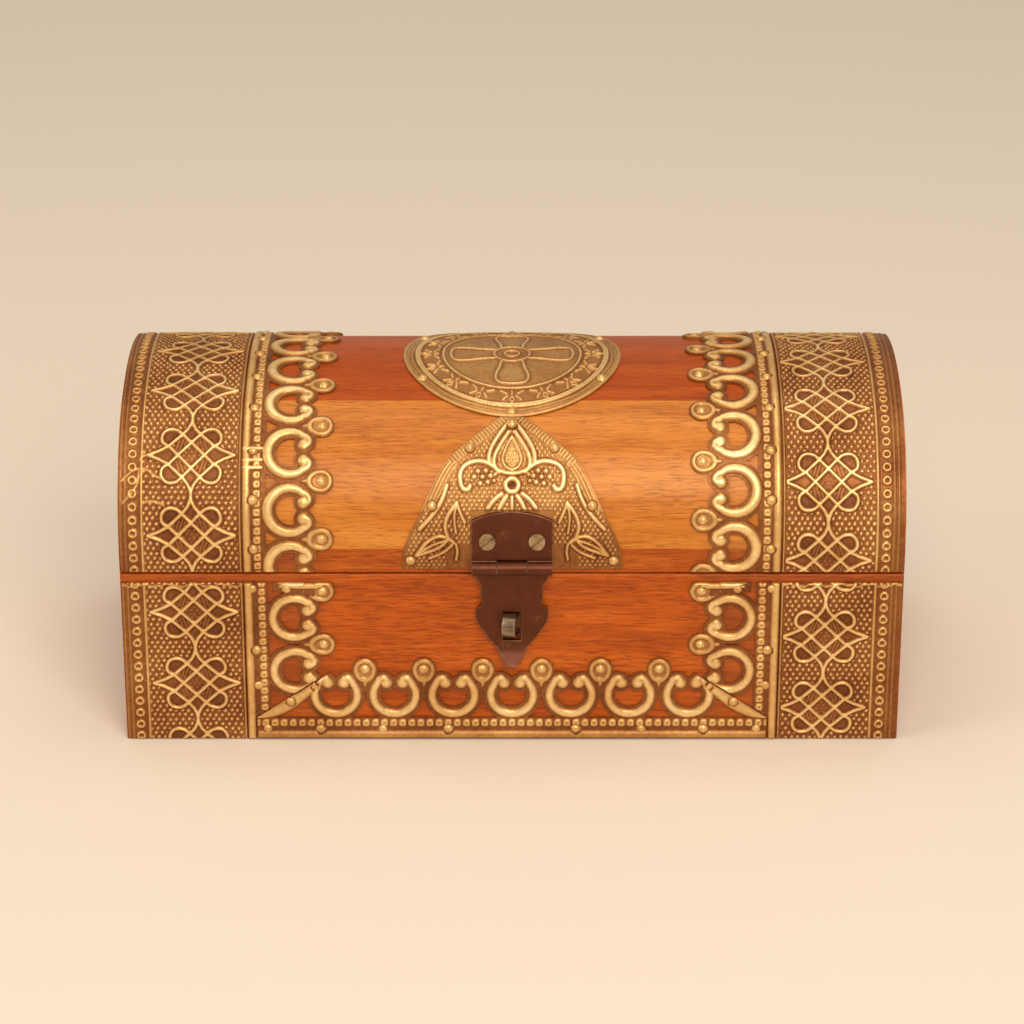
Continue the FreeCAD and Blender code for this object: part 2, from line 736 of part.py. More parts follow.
def side_border(name, side):
    """An upright border, side -1 on the left and 1 on the right."""
    middle, across = side * (strip_edge - scroll_line), Vector(-side, 0, 0)
    pieces = [placed(flat, front_frame(middle, z, across, seat))
              for z in side_scrolls for flat in (flat_scroll, flat_flange)]
    pieces += [placed(flat_eyelet, front_frame(middle, z, across, seat)) for z in side_eyelets]
    edge, bar_end, web_end = (side * (strip_edge - across)
                              for across in (0, size("bar_width"), size("web_width")))
    web = front_slab(edge, foot, web_end, brass_top, gauge)
    field = web.fuse(pieces).common(above_mitre(side, 0))
    bar = front_slab(edge, foot, bar_end, brass_top, raised_gauge)
    join = front_slab(edge, mitre_height(corner_x), side * corner_x, brass_top, gauge)
    strip = bar.fuse([join] + field.Solids).common(front_slab(edge, foot, 0, brass_top, raised_gauge))
    return pierced(name, strip, side_pin_frames(side))


def foot_border(name):
    """The border along the foot; a plain strap runs along the mitre at each end."""
    line = foot + scroll_line
    pieces = [placed(flat, front_frame(x, line, ALONG_Z, seat))
              for x in foot_scrolls for flat in (flat_scroll, flat_flange)]
    pieces += [placed(flat_eyelet, front_frame(x, line, ALONG_Z, seat)) for x in foot_eyelets]
    pieces.append(front_slab(-corner_x, foot, corner_x, foot + size("bar_width"), raised_gauge))
    web = front_slab(-corner_x, foot, corner_x, foot + size("web_width"), gauge)
    strip = web.fuse(pieces).common(front_slab(-corner_x, foot, corner_x, brass_top, raised_gauge))
    for side in (-1, 1):
        above = above_mitre(side, size("sheet_gap"))
        strap = above_mitre(side, size("sheet_gap") + size("strap_width")).cut(above)
        strip = strip.fuse(strap.common(front_slab(-corner_x, foot, corner_x, brass_top, gauge))).cut(above)
    return pierced(name, strip, foot_pin_frames())


side_border("base_left_scrolls", -1)
side_border("base_right_scrolls", 1)
foot_border("base_foot_scrolls")
pins("base_pins", side_pin_frames(-1) + side_pin_frames(1) + foot_pin_frames())

# Medallion on the crown: a disc of sheet with three raised rings, four petals and a hub.
medallion_radius = size("medallion_radius")


def upright(radius):
    """A round bar that stands on end through the crown."""
    return Part.makeCylinder(radius, size("lid_height"), Vector(0, 0, spring_z))


def petal(inset):
    """One paddle-shaped petal with a round end, drawn in by an inset, stood up through the crown."""
    root, tip = size("petal_root") + inset, size("petal_tip") - inset
    shoulder = size("petal_tip") - size("petal_bulge")
    root_half, half_width = size("petal_root_width") / 2 - inset, size("petal_width") / 2 - inset
    spots = [(shoulder, -half_width), (root, -root_half), (root, root_half), (shoulder, half_width)]
    corners = [Vector(x, y, spring_z) for x, y in spots]
    end = Part.Arc(corners[-1], Vector(tip, 0, spring_z), corners[0]).toShape()
    border = Part.Wire(Part.makePolygon(corners).Edges + [end])
    return Part.Face(border).extrude(Vector(0, 0, size("lid_height")))


def medallion_frames():
    circle = size("medallion_pin_circle")
    turns = [math.radians(30 + 60 * step) for step in range(6)]
    places = [(circle * math.cos(turn), crown_run + circle * math.sin(turn)) for turn in turns]
    return [arch_frame(x, run, 1, sheet_top) for x, run in places]


def medallion(name):
    low, high = shoulder_end - medallion_radius / 2, crown_end + medallion_radius / 2
    disc = arch_sheet(-medallion_radius, medallion_radius, seat, sheet_top, low, high)
    raised = arch_sheet(-medallion_radius, medallion_radius, seat, relief_top, low, high)
    lines = [upright(ring).cut(upright(ring - size("rule_width")))
             for ring in (size("medallion_ring"), size("medallion_hub_ring"), size("petal_ring"))]
    lines.append(upright(size("hub_radius")))
    for quarter in range(4):
        leaf = petal(0.0).cut(petal(size("petal_line")))
        leaf.rotate(Vector(), ALONG_Z, 90 * quarter)
        lines.append(leaf)
    ridges = [raised.common(line) for line in lines]
    return pierced(name, disc.common(upright(medallion_radius)).fuse(ridges), medallion_frames())


medallion("lid_medallion")
pins("medallion_pins", medallion_frames())

# Lotus plate on the lid's front: an ogee outline cut from sheet bent to the arch, up to the medallion.
LOTUS_VIEW = math.radians(40.0)
LOTUS_DEPTH = 20.0
lotus_out = Vector(0, -math.cos(LOTUS_VIEW), math.sin(LOTUS_VIEW))
lotus_half, lotus_foot, lotus_apex = size("lotus_half_width"), size("lotus_foot"), size("lotus_apex")
lotus_plane = arch_point(size("lotus_shoulder_run"), LOTUS_DEPTH / 2)


def lotus_spot(half, run):
    """A place of the outline, pushed out to a plane in front of the lid."""
    spot = arch_point(run, 0.0, half)
    return spot + lotus_out * (lotus_plane - spot).dot(lotus_out)


def ogee_side(sign):
    shoulder = lotus_spot(sign * size("lotus_shoulder_half"), size("lotus_shoulder_run"))
    waist = lotus_spot(sign * size("lotus_waist_half"), size("lotus_waist_run"))
    flare = lotus_spot(sign * lotus_half, size("lotus_flare_run"))
    curve = Part.BSplineCurve()
    curve.interpolate([shoulder, waist, flare])
    slope = Part.LineSegment(lotus_spot(0.0, lotus_apex), shoulder).toShape()
    skirt = Part.LineSegment(flare, lotus_spot(sign * lotus_half, lotus_foot)).toShape()
    return [slope, curve.toShape(), skirt]


def hasp_screw_frames(offset):
    x, run = size("hasp_screw_side"), size("hasp_screw_run")
    return [arch_frame(side * x, run, 1, offset) for side in (-1, 1)]


def screw_hole_tools():
    return holes_for(hasp_screw_frames(0.0), size("screw_shank_radius") + size("screw_hole_clearance"))


def lotus_pin_frames():
    inset, shoulder_run = size("lotus_pin_inset"), size("lotus_shoulder_run")
    top_run = min(lotus_apex, crown_run - medallion_radius)
    slope_half = (size("lotus_shoulder_half") - inset) * 0.7
    slope_run = shoulder_run + (top_run - shoulder_run) * 0.3
    places = [(0.0, top_run - inset)]
    for side in (-1, 1):
        places.append((side * slope_half, slope_run))
        places.append((side * (size("lotus_waist_half") - inset), size("lotus_waist_run")))
        places.append((side * (lotus_half - inset), lotus_foot + inset))
    return [arch_frame(x, run, 1, sheet_top) for x, run in places]


def lotus_plate(name):
    feet = [lotus_spot(sign * lotus_half, lotus_foot) for sign in (-1, 1)]
    loop = ogee_side(-1) + [Part.LineSegment(*feet).toShape()] + ogee_side(1)
    prism = Part.Face(Part.Wire(Part.__sortEdges__(loop))).extrude(lotus_out * -LOTUS_DEPTH)
    bent = arch_sheet(-lotus_half, lotus_half, seat, sheet_top, lotus_foot, crown_run)
    plate = bent.common(prism).cut(upright(medallion_radius + size("sheet_gap"))).cut(screw_hole_tools())
    return pierced(name, plate, lotus_pin_frames())


lotus_plate("lid_lotus_plate")
pins("lotus_pins", lotus_pin_frames())

# Hasp leaf: an iron plate bent to the lid, with an arched top and the two outer knuckles of its hinge.
LEAF_TILT = f"((sizes.leaf_top_run - sizes.rail_height) / {SHOULDER_RADIUS} * 1 rad)"
SHOULDER_CENTRE = f"({FRONT} + {SHOULDER_RADIUS})"
CORNER_TILT = f"((sizes.leaf_corner_run - sizes.rail_height) / {SHOULDER_RADIUS} * 1 rad)"
LEAF_TOP_Z = f"({SPRING} + ({SHOULDER_RADIUS} + {LEAF_FACE}) * sin{LEAF_TILT})"
LEAF_CORNER_Z = f"({SPRING} + ({SHOULDER_RADIUS} + {LEAF_FACE}) * sin{CORNER_TILT})"
LEAF_BOW = f"({LEAF_TOP_Z} - {LEAF_CORNER_Z})"
LEAF_TOP_RADIUS = f"((sizes.hasp_width ^ 2 / 4 + {LEAF_BOW} ^ 2) / (2 * {LEAF_BOW}))"
HASP_HALF = "(sizes.hasp_width / 2)"


def leaf_corner(offset):
    """Where the bent leaf ends at the top, at an offset outside the wood."""
    radius = f"({SHOULDER_RADIUS} + {offset})"
    return f"{SHOULDER_CENTRE} - {radius} * cos{LEAF_TILT}", f"{SPRING} + {radius} * sin{LEAF_TILT}"


bent_leaf = new_body("bent_leaf")
leaf_section = [
    (f"{FRONT} - {LEAF_FACE}", HASP_AXIS_Z), (f"{FRONT} - {LEAF_SEAT}", HASP_AXIS_Z),
    (f"{FRONT} - {LEAF_SEAT}", SPRING, f"({SHOULDER_RADIUS} + {LEAF_SEAT})", -1), leaf_corner(LEAF_SEAT),
    (*leaf_corner(LEAF_FACE), f"({SHOULDER_RADIUS} + {LEAF_FACE})", 1), (f"{FRONT} - {LEAF_FACE}", SPRING)]
pad(bent_leaf, "leaf_bend", "YZ_Plane", leaf_section, "sizes.hasp_width", symmetric=True)
leaf_front = new_body("leaf_front")
leaf_outline = [(f"-{HASP_HALF}", HASP_AXIS_Z), (HASP_HALF, HASP_AXIS_Z),
                (HASP_HALF, LEAF_CORNER_Z, LEAF_TOP_RADIUS, 1), (f"-{HASP_HALF}", LEAF_CORNER_Z)]
pad(leaf_front, "leaf_face", "XZ_Plane", leaf_outline, "(2 * sizes.depth)", symmetric=True)
leaf_blank = joined("Part::MultiCommon", "leaf_blank", [bent_leaf, leaf_front])
MIDDLE_HALF = "(sizes.hasp_knuckle_length / 2)"
OUTER_START = f"({MIDDLE_HALF} + sizes.knuckle_gap)"
OUTER_LENGTH = f"({HASP_HALF} - {OUTER_START})"
KNUCKLE = "sizes.hasp_knuckle_radius"
leaf_knuckles = [rod(f"leaf_knuckle_{side}", (start, HASP_AXIS_Y, HASP_AXIS_Z), KNUCKLE, OUTER_LENGTH)
                 for side, start in (("left", f"-{HASP_HALF}"), ("right", OUTER_START))]
leaf_solid = joined("Part::MultiFuse", "leaf_solid", [leaf_blank] + leaf_knuckles)
knuckle_room = rod("knuckle_room", (f"-{OUTER_START}", HASP_AXIS_Y, HASP_AXIS_Z),
                   f"({KNUCKLE} + sizes.shoulder_gap)", f"(2 * {OUTER_START})")
leaf_bore = rod("leaf_bore", (f"-{HASP_HALF}", HASP_AXIS_Y, HASP_AXIS_Z), BORE, "sizes.hasp_width")
leaf_holes = loose("leaf_holes", screw_hole_tools())
keep(cut_away("hasp_leaf", leaf_solid, [knuckle_room, leaf_bore, leaf_holes]), "hasp_leaf")
hasp_pin = rod("hasp_pin", (f"-{HASP_HALF}", HASP_AXIS_Y, HASP_AXIS_Z), "sizes.hinge_pin_radius",
               "sizes.hasp_width")
keep(hasp_pin, "hasp_pin")


def slotted_screw():
    """A low domed head with a slot, on a plain shank."""
    head, rise, slot = size("hasp_screw_head"), size("hasp_screw_rise"), size("hasp_screw_slot")
    ball = (head ** 2 + rise ** 2) / (2 * rise)
    dome = Part.makeSphere(ball, Vector(0, 0, rise - ball)).common(Part.makeCylinder(2 * head, rise))
    groove = Part.makeBox(2 * head, slot, rise, Vector(-head, -slot / 2, rise / 2))
    length = size("screw_length")
    shank = Part.makeCylinder(size("screw_shank_radius"), length, Vector(0, 0, -length))
    return dome.cut(groove).fuse(shank).removeSplitter().Solids[0]


shaped("hasp_screws", Part.makeCompound(
    [placed(slotted_screw(), frame) for frame in hasp_screw_frames(number(LEAF_FACE))]))

# Hasp plate: a side profile with its lip bent outwards, cut to the front outline, with a knuckle and a slot.
LIP_SINE, LIP_COSINE = "sin(sizes.lip_angle * 1 deg)", "cos(sizes.lip_angle * 1 deg)"
PLATE_BACK, PLATE_FACE = f"({FRONT} - {LEAF_SEAT})", f"({FRONT} - {LEAF_FACE})"
BEND_Z = "(sizes.base_height - sizes.plate_bend_drop)"
LIP_END = (f"({PLATE_BACK} - sizes.lip_length * {LIP_SINE})",
           f"({BEND_Z} - sizes.lip_length * {LIP_COSINE})")
plate_side = new_body("plate_side")
side_profile = [
    (PLATE_FACE, HASP_AXIS_Z), (PLATE_FACE, f"{BEND_Z} + sizes.iron_gauge * tan(sizes.lip_angle * 0.5 deg)"),
    (f"{LIP_END[0]} - sizes.iron_gauge * {LIP_COSINE}", f"{LIP_END[1]} + sizes.iron_gauge * {LIP_SINE}"),
    LIP_END, (PLATE_BACK, BEND_Z), (PLATE_BACK, HASP_AXIS_Z)]
pad(plate_side, "plate_profile", "YZ_Plane", side_profile, "sizes.hasp_width", symmetric=True)
SHOULDER_Z = f"({HASP_AXIS_Z} - {KNUCKLE} - sizes.shoulder_gap)"
TIP_RADIUS = "(sizes.lip_half * 1.05)"
TIP_SIDE_Z = f"({LIP_END[1]} + {TIP_RADIUS} - sqrt({TIP_RADIUS} ^ 2 - sizes.lip_half ^ 2))"


def below_rim(alias):
    return f"(sizes.base_height - sizes.{alias})"


half_outline = [
    (MIDDLE_HALF, HASP_AXIS_Z), (MIDDLE_HALF, SHOULDER_Z), ("sizes.plate_shoulder_half", SHOULDER_Z),
    ("sizes.plate_waist_half", below_rim("plate_waist_drop")),
    ("sizes.plate_flare_half", below_rim("plate_flare_drop")),
    ("sizes.plate_taper_half", below_rim("plate_taper_drop")),
    ("sizes.plate_bend_half", BEND_Z), ("sizes.lip_half", TIP_SIDE_Z)]
front_outline = [(f"-{x}", z) for x, z in half_outline] + half_outline[::-1]
front_outline[len(half_outline) - 1] += (TIP_RADIUS, 1)
plate_front = new_body("plate_front")
pad(plate_front, "plate_outline", "XZ_Plane", front_outline, "(2 * sizes.depth)", symmetric=True)
plate_blank = joined("Part::MultiCommon", "plate_blank", [plate_side, plate_front])
plate_knuckle = rod("plate_knuckle", (f"-{MIDDLE_HALF}", HASP_AXIS_Y, HASP_AXIS_Z), KNUCKLE,
                    "sizes.hasp_knuckle_length")
plate_solid = joined("Part::MultiFuse", "plate_solid", [plate_blank, plate_knuckle])
plate_bore = rod("plate_bore", (f"-{HASP_HALF}", HASP_AXIS_Y, HASP_AXIS_Z), BORE, "sizes.hasp_width")
slot_corner = ("-sizes.slot_width / 2", f"{PLATE_FACE} - sizes.iron_gauge", below_rim("slot_bottom_drop"))
slot_height = "(sizes.slot_bottom_drop - sizes.slot_top_drop)"
plate_slot = block("plate_slot", slot_corner, ("sizes.slot_width", "3 * sizes.iron_gauge", slot_height))
keep(cut_away("hasp_plate", plate_solid, [plate_bore, plate_slot]), "hasp_plate")

# Staple: a strip bent to a loop, with both legs driven into the front board.
STAPLE_Z = below_rim("staple_drop")
LOOP_Y = f"({FRONT} - sizes.staple_reach)"
LEG_Y = f"({FRONT} + sizes.staple_leg)"
OUTER_LOOP, INNER_LOOP = "sizes.staple_radius", "(sizes.staple_radius - sizes.staple_gauge)"
staple = new_body("staple")
staple_section = [
    (LEG_Y, f"{STAPLE_Z} - {OUTER_LOOP}"), (LOOP_Y, f"{STAPLE_Z} - {OUTER_LOOP}", OUTER_LOOP, -1),
    (f"{LOOP_Y} - {OUTER_LOOP}", STAPLE_Z, OUTER_LOOP, -1), (LOOP_Y, f"{STAPLE_Z} + {OUTER_LOOP}"),
    (LEG_Y, f"{STAPLE_Z} + {OUTER_LOOP}"), (LEG_Y, f"{STAPLE_Z} + {INNER_LOOP}"),
    (LOOP_Y, f"{STAPLE_Z} + {INNER_LOOP}", INNER_LOOP, 1),
    (f"{LOOP_Y} - {INNER_LOOP}", STAPLE_Z, INNER_LOOP, 1),
    (LOOP_Y, f"{STAPLE_Z} - {INNER_LOOP}"), (LEG_Y, f"{STAPLE_Z} - {INNER_LOOP}")]
pad(staple, "staple_strip", "YZ_Plane", staple_section, "sizes.staple_width", symmetric=True)
keep(staple, "staple")

# Butt hinges on the back: each lid leaf has two knuckles, each base leaf the one between them.
LEAF_Y = f"({BACK} + sizes.seat_gap)"
HINGE_ROOT = "(sizes.hinge_knuckle_radius + sizes.hinge_wood_gap)"
BORDER_INNER = f"({STRIP_EDGE} - sizes.eyelet_centre - sizes.eyelet_radius)"
HINGE_X = f"({BORDER_INNER} - sizes.hinge_border_gap - sizes.hinge_length / 2)"
THIRD = "(sizes.hinge_length / 3)"
HEAD_DEPTH = "(sizes.hinge_gauge * 0.8)"
SCREW_HOLE = "(sizes.screw_shank_radius + sizes.screw_hole_clearance)"


def hinge_screw_places(direction):
    """X and Z of the four screws of the lid leaves for 1, of the base leaves for -1."""
    height = f"{HINGE_AXIS_Z} + {direction} * sizes.hinge_screw_height"
    return [(f"{hinge} * {HINGE_X} + {side} * sizes.hinge_screw_side", height)
            for hinge in (-1, 1) for side in (-1, 1)]


def hinge_leaf(name, hinge, direction):
    """One leaf; hinge is -1 on the left and 1 on the right, direction 1 up the lid and -1 down the base."""
    start = f"({hinge} * {HINGE_X} - sizes.hinge_length / 2)"
    if direction > 0:
        length = f"({THIRD} - sizes.knuckle_gap)"
        knuckles = [(start, length), (f"({start} + 2 * {THIRD} + sizes.knuckle_gap)", length)]
        plate_z, root_z = f"{HINGE_AXIS_Z} + {HINGE_ROOT}", HINGE_AXIS_Z
    else:
        knuckles = [(f"({start} + {THIRD})", THIRD)]
        plate_z, root_z = f"{HINGE_AXIS_Z} - sizes.hinge_leaf_height", f"{HINGE_AXIS_Z} - {HINGE_ROOT}"
    pieces = [block(f"{name}_plate", (start, LEAF_Y, plate_z),
                    ("sizes.hinge_length", "sizes.hinge_gauge", f"sizes.hinge_leaf_height - {HINGE_ROOT}"))]
    for place, (knuckle_start, length) in enumerate(knuckles):
        pieces.append(block(f"{name}_root_{place}", (knuckle_start, LEAF_Y, root_z),
                            (length, "sizes.hinge_gauge", HINGE_ROOT)))
        pieces.append(rod(f"{name}_knuckle_{place}", (knuckle_start, HINGE_AXIS_Y, HINGE_AXIS_Z),
                          "sizes.hinge_knuckle_radius", length))
    tools = [rod(f"{name}_bore", (start, HINGE_AXIS_Y, HINGE_AXIS_Z), BORE, "sizes.hinge_length")]
    first = 0 if hinge < 0 else 2
    for place, (x, z) in enumerate(hinge_screw_places(direction)[first:first + 2]):
        tools.append(rod(f"{name}_hole_{place}", (x, BACK, z), SCREW_HOLE, "3 * sizes.hinge_gauge", ALONG_Y))
        sink = stand(doc.addObject("Part::Cone", f"{name}_sink_{place}"),
                     (x, f"{LEAF_Y} + sizes.hinge_gauge - {HEAD_DEPTH}", z), ALONG_Y)
        sink.setExpression("Radius1", SCREW_HOLE)
        sink.setExpression("Radius2", "(sizes.hinge_screw_head + sizes.screw_hole_clearance)")
        sink.setExpression("Height", HEAD_DEPTH)
        tools.append(sink)
    leaf = cut_away(name, joined("Part::MultiFuse", f"{name}_solid", pieces), tools)
    return keep(leaf, name)


def flat_screw():
    """A countersunk screw whose head is flush with its leaf."""
    head, shank, sunk = size("hinge_screw_head"), size("screw_shank_radius"), number(HEAD_DEPTH)
    length = size("screw_length")
    cone = Part.makeCone(shank, head, sunk, Vector(0, 0, -sunk))
    return cone.fuse(Part.makeCylinder(shank, length, Vector(0, 0, -length))).Solids[0]


def hinge_screws(name, direction):
    face = number(f"{LEAF_Y} + sizes.hinge_gauge")
    spots = [Vector(number(x), face, number(z)) for x, z in hinge_screw_places(direction)]
    screws = [placed(flat_screw(), frame_at(spot, ALONG_Z, ALONG_Y)) for spot in spots]
    return shaped(name, Part.makeCompound(screws))


for side_name, hinge_side in (("left", -1), ("right", 1)):
    hinge_leaf(f"{side_name}_hinge_base_leaf", hinge_side, -1)
    hinge_leaf(f"{side_name}_hinge_lid_leaf", hinge_side, 1)
    pin_start = f"({hinge_side} * {HINGE_X} - sizes.hinge_length / 2)"
    keep(rod(f"{side_name}_hinge_pin", (pin_start, HINGE_AXIS_Y, HINGE_AXIS_Z), "sizes.hinge_pin_radius",
             "sizes.hinge_length"), f"{side_name}_hinge_pin")
hinge_screws("base_hinge_screws", -1)
hinge_screws("lid_hinge_screws", 1)

# Check every object, then write one file for each sub-part.
doc.recompute()
for item in doc.Objects:
    if "Invalid" in item.State or "Error" in item.State:
        raise ValueError(f"{item.Label} failed: {item.State}")
os.makedirs("parts", exist_ok=True)
for piece in subparts:
    if piece.Shape.isNull() or not piece.Shape.isValid():
        raise ValueError(f"{piece.Label} has no valid shape")
for piece in subparts:
    piece.Shape.exportStep(f"parts/{piece.Label}.step")
    print(piece.Label, len(piece.Shape.Solids), round(piece.Shape.Volume, 1))
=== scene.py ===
import math

import bmesh
import bpy
import numpy as np
from mathutils import Matrix, Vector


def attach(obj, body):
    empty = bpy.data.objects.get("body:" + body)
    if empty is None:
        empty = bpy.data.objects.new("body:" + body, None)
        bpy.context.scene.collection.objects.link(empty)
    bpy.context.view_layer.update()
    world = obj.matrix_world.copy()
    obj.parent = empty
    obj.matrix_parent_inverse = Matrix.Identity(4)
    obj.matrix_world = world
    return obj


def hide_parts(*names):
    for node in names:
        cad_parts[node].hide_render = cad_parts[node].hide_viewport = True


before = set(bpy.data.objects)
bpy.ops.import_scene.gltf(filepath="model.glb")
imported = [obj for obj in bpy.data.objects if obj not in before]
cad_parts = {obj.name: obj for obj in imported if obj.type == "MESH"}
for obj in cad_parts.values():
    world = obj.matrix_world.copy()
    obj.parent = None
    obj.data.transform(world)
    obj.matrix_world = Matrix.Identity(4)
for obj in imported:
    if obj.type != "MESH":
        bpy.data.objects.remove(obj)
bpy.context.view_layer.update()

# Base boards: four walls and a bottom of a close-grained tropical hardwood, sawn and planed.
# The long walls run along X and cover the ends; all are stained and coated with a clear satin varnish.
# Painted shade darkens the front wall's wood towards its ends, where it shows between the scrolls, and round
# the staple's foot.
MM = 0.001
FRONT = 45.5                            # half the depth: the wood's front face
GRAINS = {                              # length and width in mm; detail, roughness and twist of the noise
    "figure": (90, 8, 4.0, 0.55, 0.6), "fibre": (14, 0.8, 3.0, 0.6, 0.0),
    "flecks": (4, 0.36, 2.0, 0.5, 0.0), "clouds": (30, 7, 2.0, 0.5, 0.0)}
PORE, SHADE_BROWN = "#6a2204", "#6b3c20"     # dark pores; the brown of the painted shade
SHADE_START, SHADE_FULL = 47, 53      # distances from the middle of the wall
STAPLE_FOOT = (0, -FRONT * MM, 34 * MM)
STAPLE_SHADE_FULL, STAPLE_SHADE_END = 3.5, 7.5        # distances from the staple's foot


def linear(colour):
    """The linear colour of an sRGB hex value."""
    parts = [int(colour[place:place + 2], 16) / 255 for place in (1, 3, 5)]
    return [part / 12.92 if part <= 0.04045 else ((part + 0.055) / 1.055) ** 2.4 for part in parts] + [1.0]


def add(tree, kind, links=None, stops=(), **settings):
    """Adds a node; links gives its inputs, each a value or the output that feeds it; stops colour a ramp."""
    made = tree.nodes.new(kind)
    for name, value in settings.items():
        setattr(made, name, value)
    for socket, value in (links or {}).items():
        if isinstance(value, bpy.types.NodeSocket):
            tree.links.new(value, made.inputs[socket])
        else:
            made.inputs[socket].default_value = value
    if stops:
        bands = made.color_ramp.elements
        while len(bands) < len(stops):
            bands.new(0.5)
        for band, (place, colour) in zip(bands, stops):
            band.position, band.color = place, linear(colour)
    return made


def new_finish(name):
    """An empty node material, its nodes, and the input that its shader goes to."""
    finish = bpy.data.materials.new(name)
    finish.use_nodes = True
    finish.node_tree.nodes.clear()
    return finish, finish.node_tree, add(finish.node_tree, "ShaderNodeOutputMaterial").inputs["Surface"]


def varnished_wood(name, dark, middle, light, pore, grain_axis=0):
    """Stained hardwood: soft bands of colour along the grain, short dark pores, and a thin varnish."""
    finish, tree, surface = new_finish(name)
    place = add(tree, "ShaderNodeTexCoord").outputs["Object"]
    grain = {}
    for pattern, (long_mm, wide_mm, detail, rough, twist) in GRAINS.items():
        scale = [1 / (wide_mm * MM)] * 3
        scale[grain_axis] = 1 / (long_mm * MM)
        stretched = add(tree, "ShaderNodeMapping", {"Vector": place, "Scale": scale}).outputs["Vector"]
        grain[pattern] = add(tree, "ShaderNodeTexNoise", {
            "Vector": stretched, "Scale": 1.0, "Detail": detail, "Roughness": rough,
            "Distortion": twist}).outputs["Fac"]
    blend = add(tree, "ShaderNodeMath", {0: grain["figure"], 1: 0.6}, operation="MULTIPLY").outputs[0]
    blend = add(tree, "ShaderNodeMath", {0: grain["fibre"], 1: 0.4, 2: blend},
                operation="MULTIPLY_ADD").outputs[0]
    stain = add(tree, "ShaderNodeValToRGB", {"Fac": blend},
                stops=[(0.37, dark), (0.50, middle), (0.63, light)]).outputs["Color"]
    flecks = add(tree, "ShaderNodeMath", {0: grain["clouds"], 1: 0.25, 2: grain["flecks"]},
                 operation="MULTIPLY_ADD").outputs[0]
    flecks = add(tree, "ShaderNodeMapRange", {"Value": flecks, "From Min": 0.63, "From Max": 0.80,
                                              "To Min": 0.0, "To Max": 0.55}).outputs["Result"]
    colour = add(tree, "ShaderNodeMix", {"Factor": flecks, 6: stain, 7: linear(pore)},
                 data_type="RGBA").outputs[2]
    # painted shade: the front face is darkened towards its ends, between the scrolls, and round the staple's
    # foot
    split = add(tree, "ShaderNodeSeparateXYZ", {"Vector": place}).outputs
    side = add(tree, "ShaderNodeMath", {0: split["X"]}, operation="ABSOLUTE").outputs[0]
    painted_shade = add(tree, "ShaderNodeMapRange", {
        "Value": side, "From Min": SHADE_START * MM, "From Max": SHADE_FULL * MM,
        "To Min": 0.0, "To Max": 0.3}).outputs["Result"]
    apart = add(tree, "ShaderNodeVectorMath", {0: place, 1: STAPLE_FOOT},
                operation="DISTANCE").outputs["Value"]
    staple_shade = add(tree, "ShaderNodeMapRange", {
        "Value": apart, "From Min": STAPLE_SHADE_FULL * MM, "From Max": STAPLE_SHADE_END * MM,
        "To Min": 0.85, "To Max": 0.0}).outputs["Result"]
    painted_shade = add(tree, "ShaderNodeMath", {0: painted_shade, 1: staple_shade}, operation="MAXIMUM").outputs[0]
    front = add(tree, "ShaderNodeMath", {0: split["Y"], 1: -FRONT * MM, 2: 0.1 * MM},
                operation="COMPARE").outputs[0]
    painted_shade = add(tree, "ShaderNodeMath", {0: painted_shade, 1: front}, operation="MULTIPLY").outputs[0]
    colour = add(tree, "ShaderNodeMix", {"Factor": painted_shade, 6: colour, 7: linear(SHADE_BROWN)},
                 data_type="RGBA").outputs[2]
    bump = add(tree, "ShaderNodeBump", {"Height": grain["clouds"], "Strength": 0.15,
                                        "Distance": 0.3 * MM}).outputs["Normal"]
    shader = add(tree, "ShaderNodeBsdfPrincipled", {
        "Base Color": colour, "Roughness": 0.42, "IOR": 1.45, "Specular IOR Level": 0.22, "Normal": bump,
        "Coat Weight": 0.12, "Coat Roughness": 0.25, "Coat IOR": 1.5})
    tree.links.new(shader.outputs[0], surface)
    return finish


def dress(finish, *nodes):
    """Gives CAD nodes a finish."""
    for node in nodes:
        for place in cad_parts[node].material_slots:
            place.material = finish


base_wood = varnished_wood("varnished_base_hardwood", "#9c4306", "#b4520a", "#c8651a", PORE)
end_wood = varnished_wood("varnished_end_boards", "#984208", "#ae520e", "#c0621a", PORE, grain_axis=1)
dress(base_wood, "base_front_panel", "base_back_panel", "base_bottom_panel")
dress(end_wood, "base_left_end", "base_right_end")

# Knotwork panels on the base: thin brass sheet, pressed from behind with a chain of interlaced knots
# on a dotted ground, and laid flat on the front wall beside each end.
SHEET_SEAT, SHEET_TOP = 0.05, 0.55      # a sheet's back and its flat front, out from the wood
STEP, PROBE = 0.25, 0.01                # spacing of the points of a pressing; reach for its outline's slope
CUT_FALL, CUT_TONE = 0.3, 0.3           # how near a cut edge the pressing dies out, and the tone of that edge
GROUND = 0.2                            # tone of plain sheet, between dark hollows, 0, and rubbed ridges, 1
FAR = 9.0                               # a distance that no ridge reaches
BAND_OUTER, BAND_INNER = 101.2, 69.7
PANEL_LOW, PANEL_HIGH = 0.3, 45.8
KNOT_PITCH, KNOT_MIDDLE = 20.7, 82.6
ROW_SHARE, STRAY_SHARE = 0.82, 0.95     # how close rows of dots lie, and how far dots stray in their room


def from_line(u, v, start, end):
    """Distance of every point from a straight line between two places."""
    du, dv = end[0] - start[0], end[1] - start[1]
    share = np.clip(((u - start[0]) * du + (v - start[1]) * dv) / (du * du + dv * dv), 0, 1)
    return np.hypot(u - start[0] - share * du, v - start[1] - share * dv)


def from_path(u, v, places):
    """Distance of every point from a line through several places."""
    return np.minimum.reduce([from_line(u, v, *pair) for pair in zip(places, places[1:])])


def flowing(places):
    """A path with its corners cut three times, so that it flows."""
    places = np.array(places, float)
    for _ in range(3):
        near, far = places[:-1] * 0.75 + places[1:] * 0.25, places[:-1] * 0.25 + places[1:] * 0.75
        places = np.vstack([places[:1], np.stack([near, far], axis=1).reshape(-1, 2), places[-1:]])
    return places


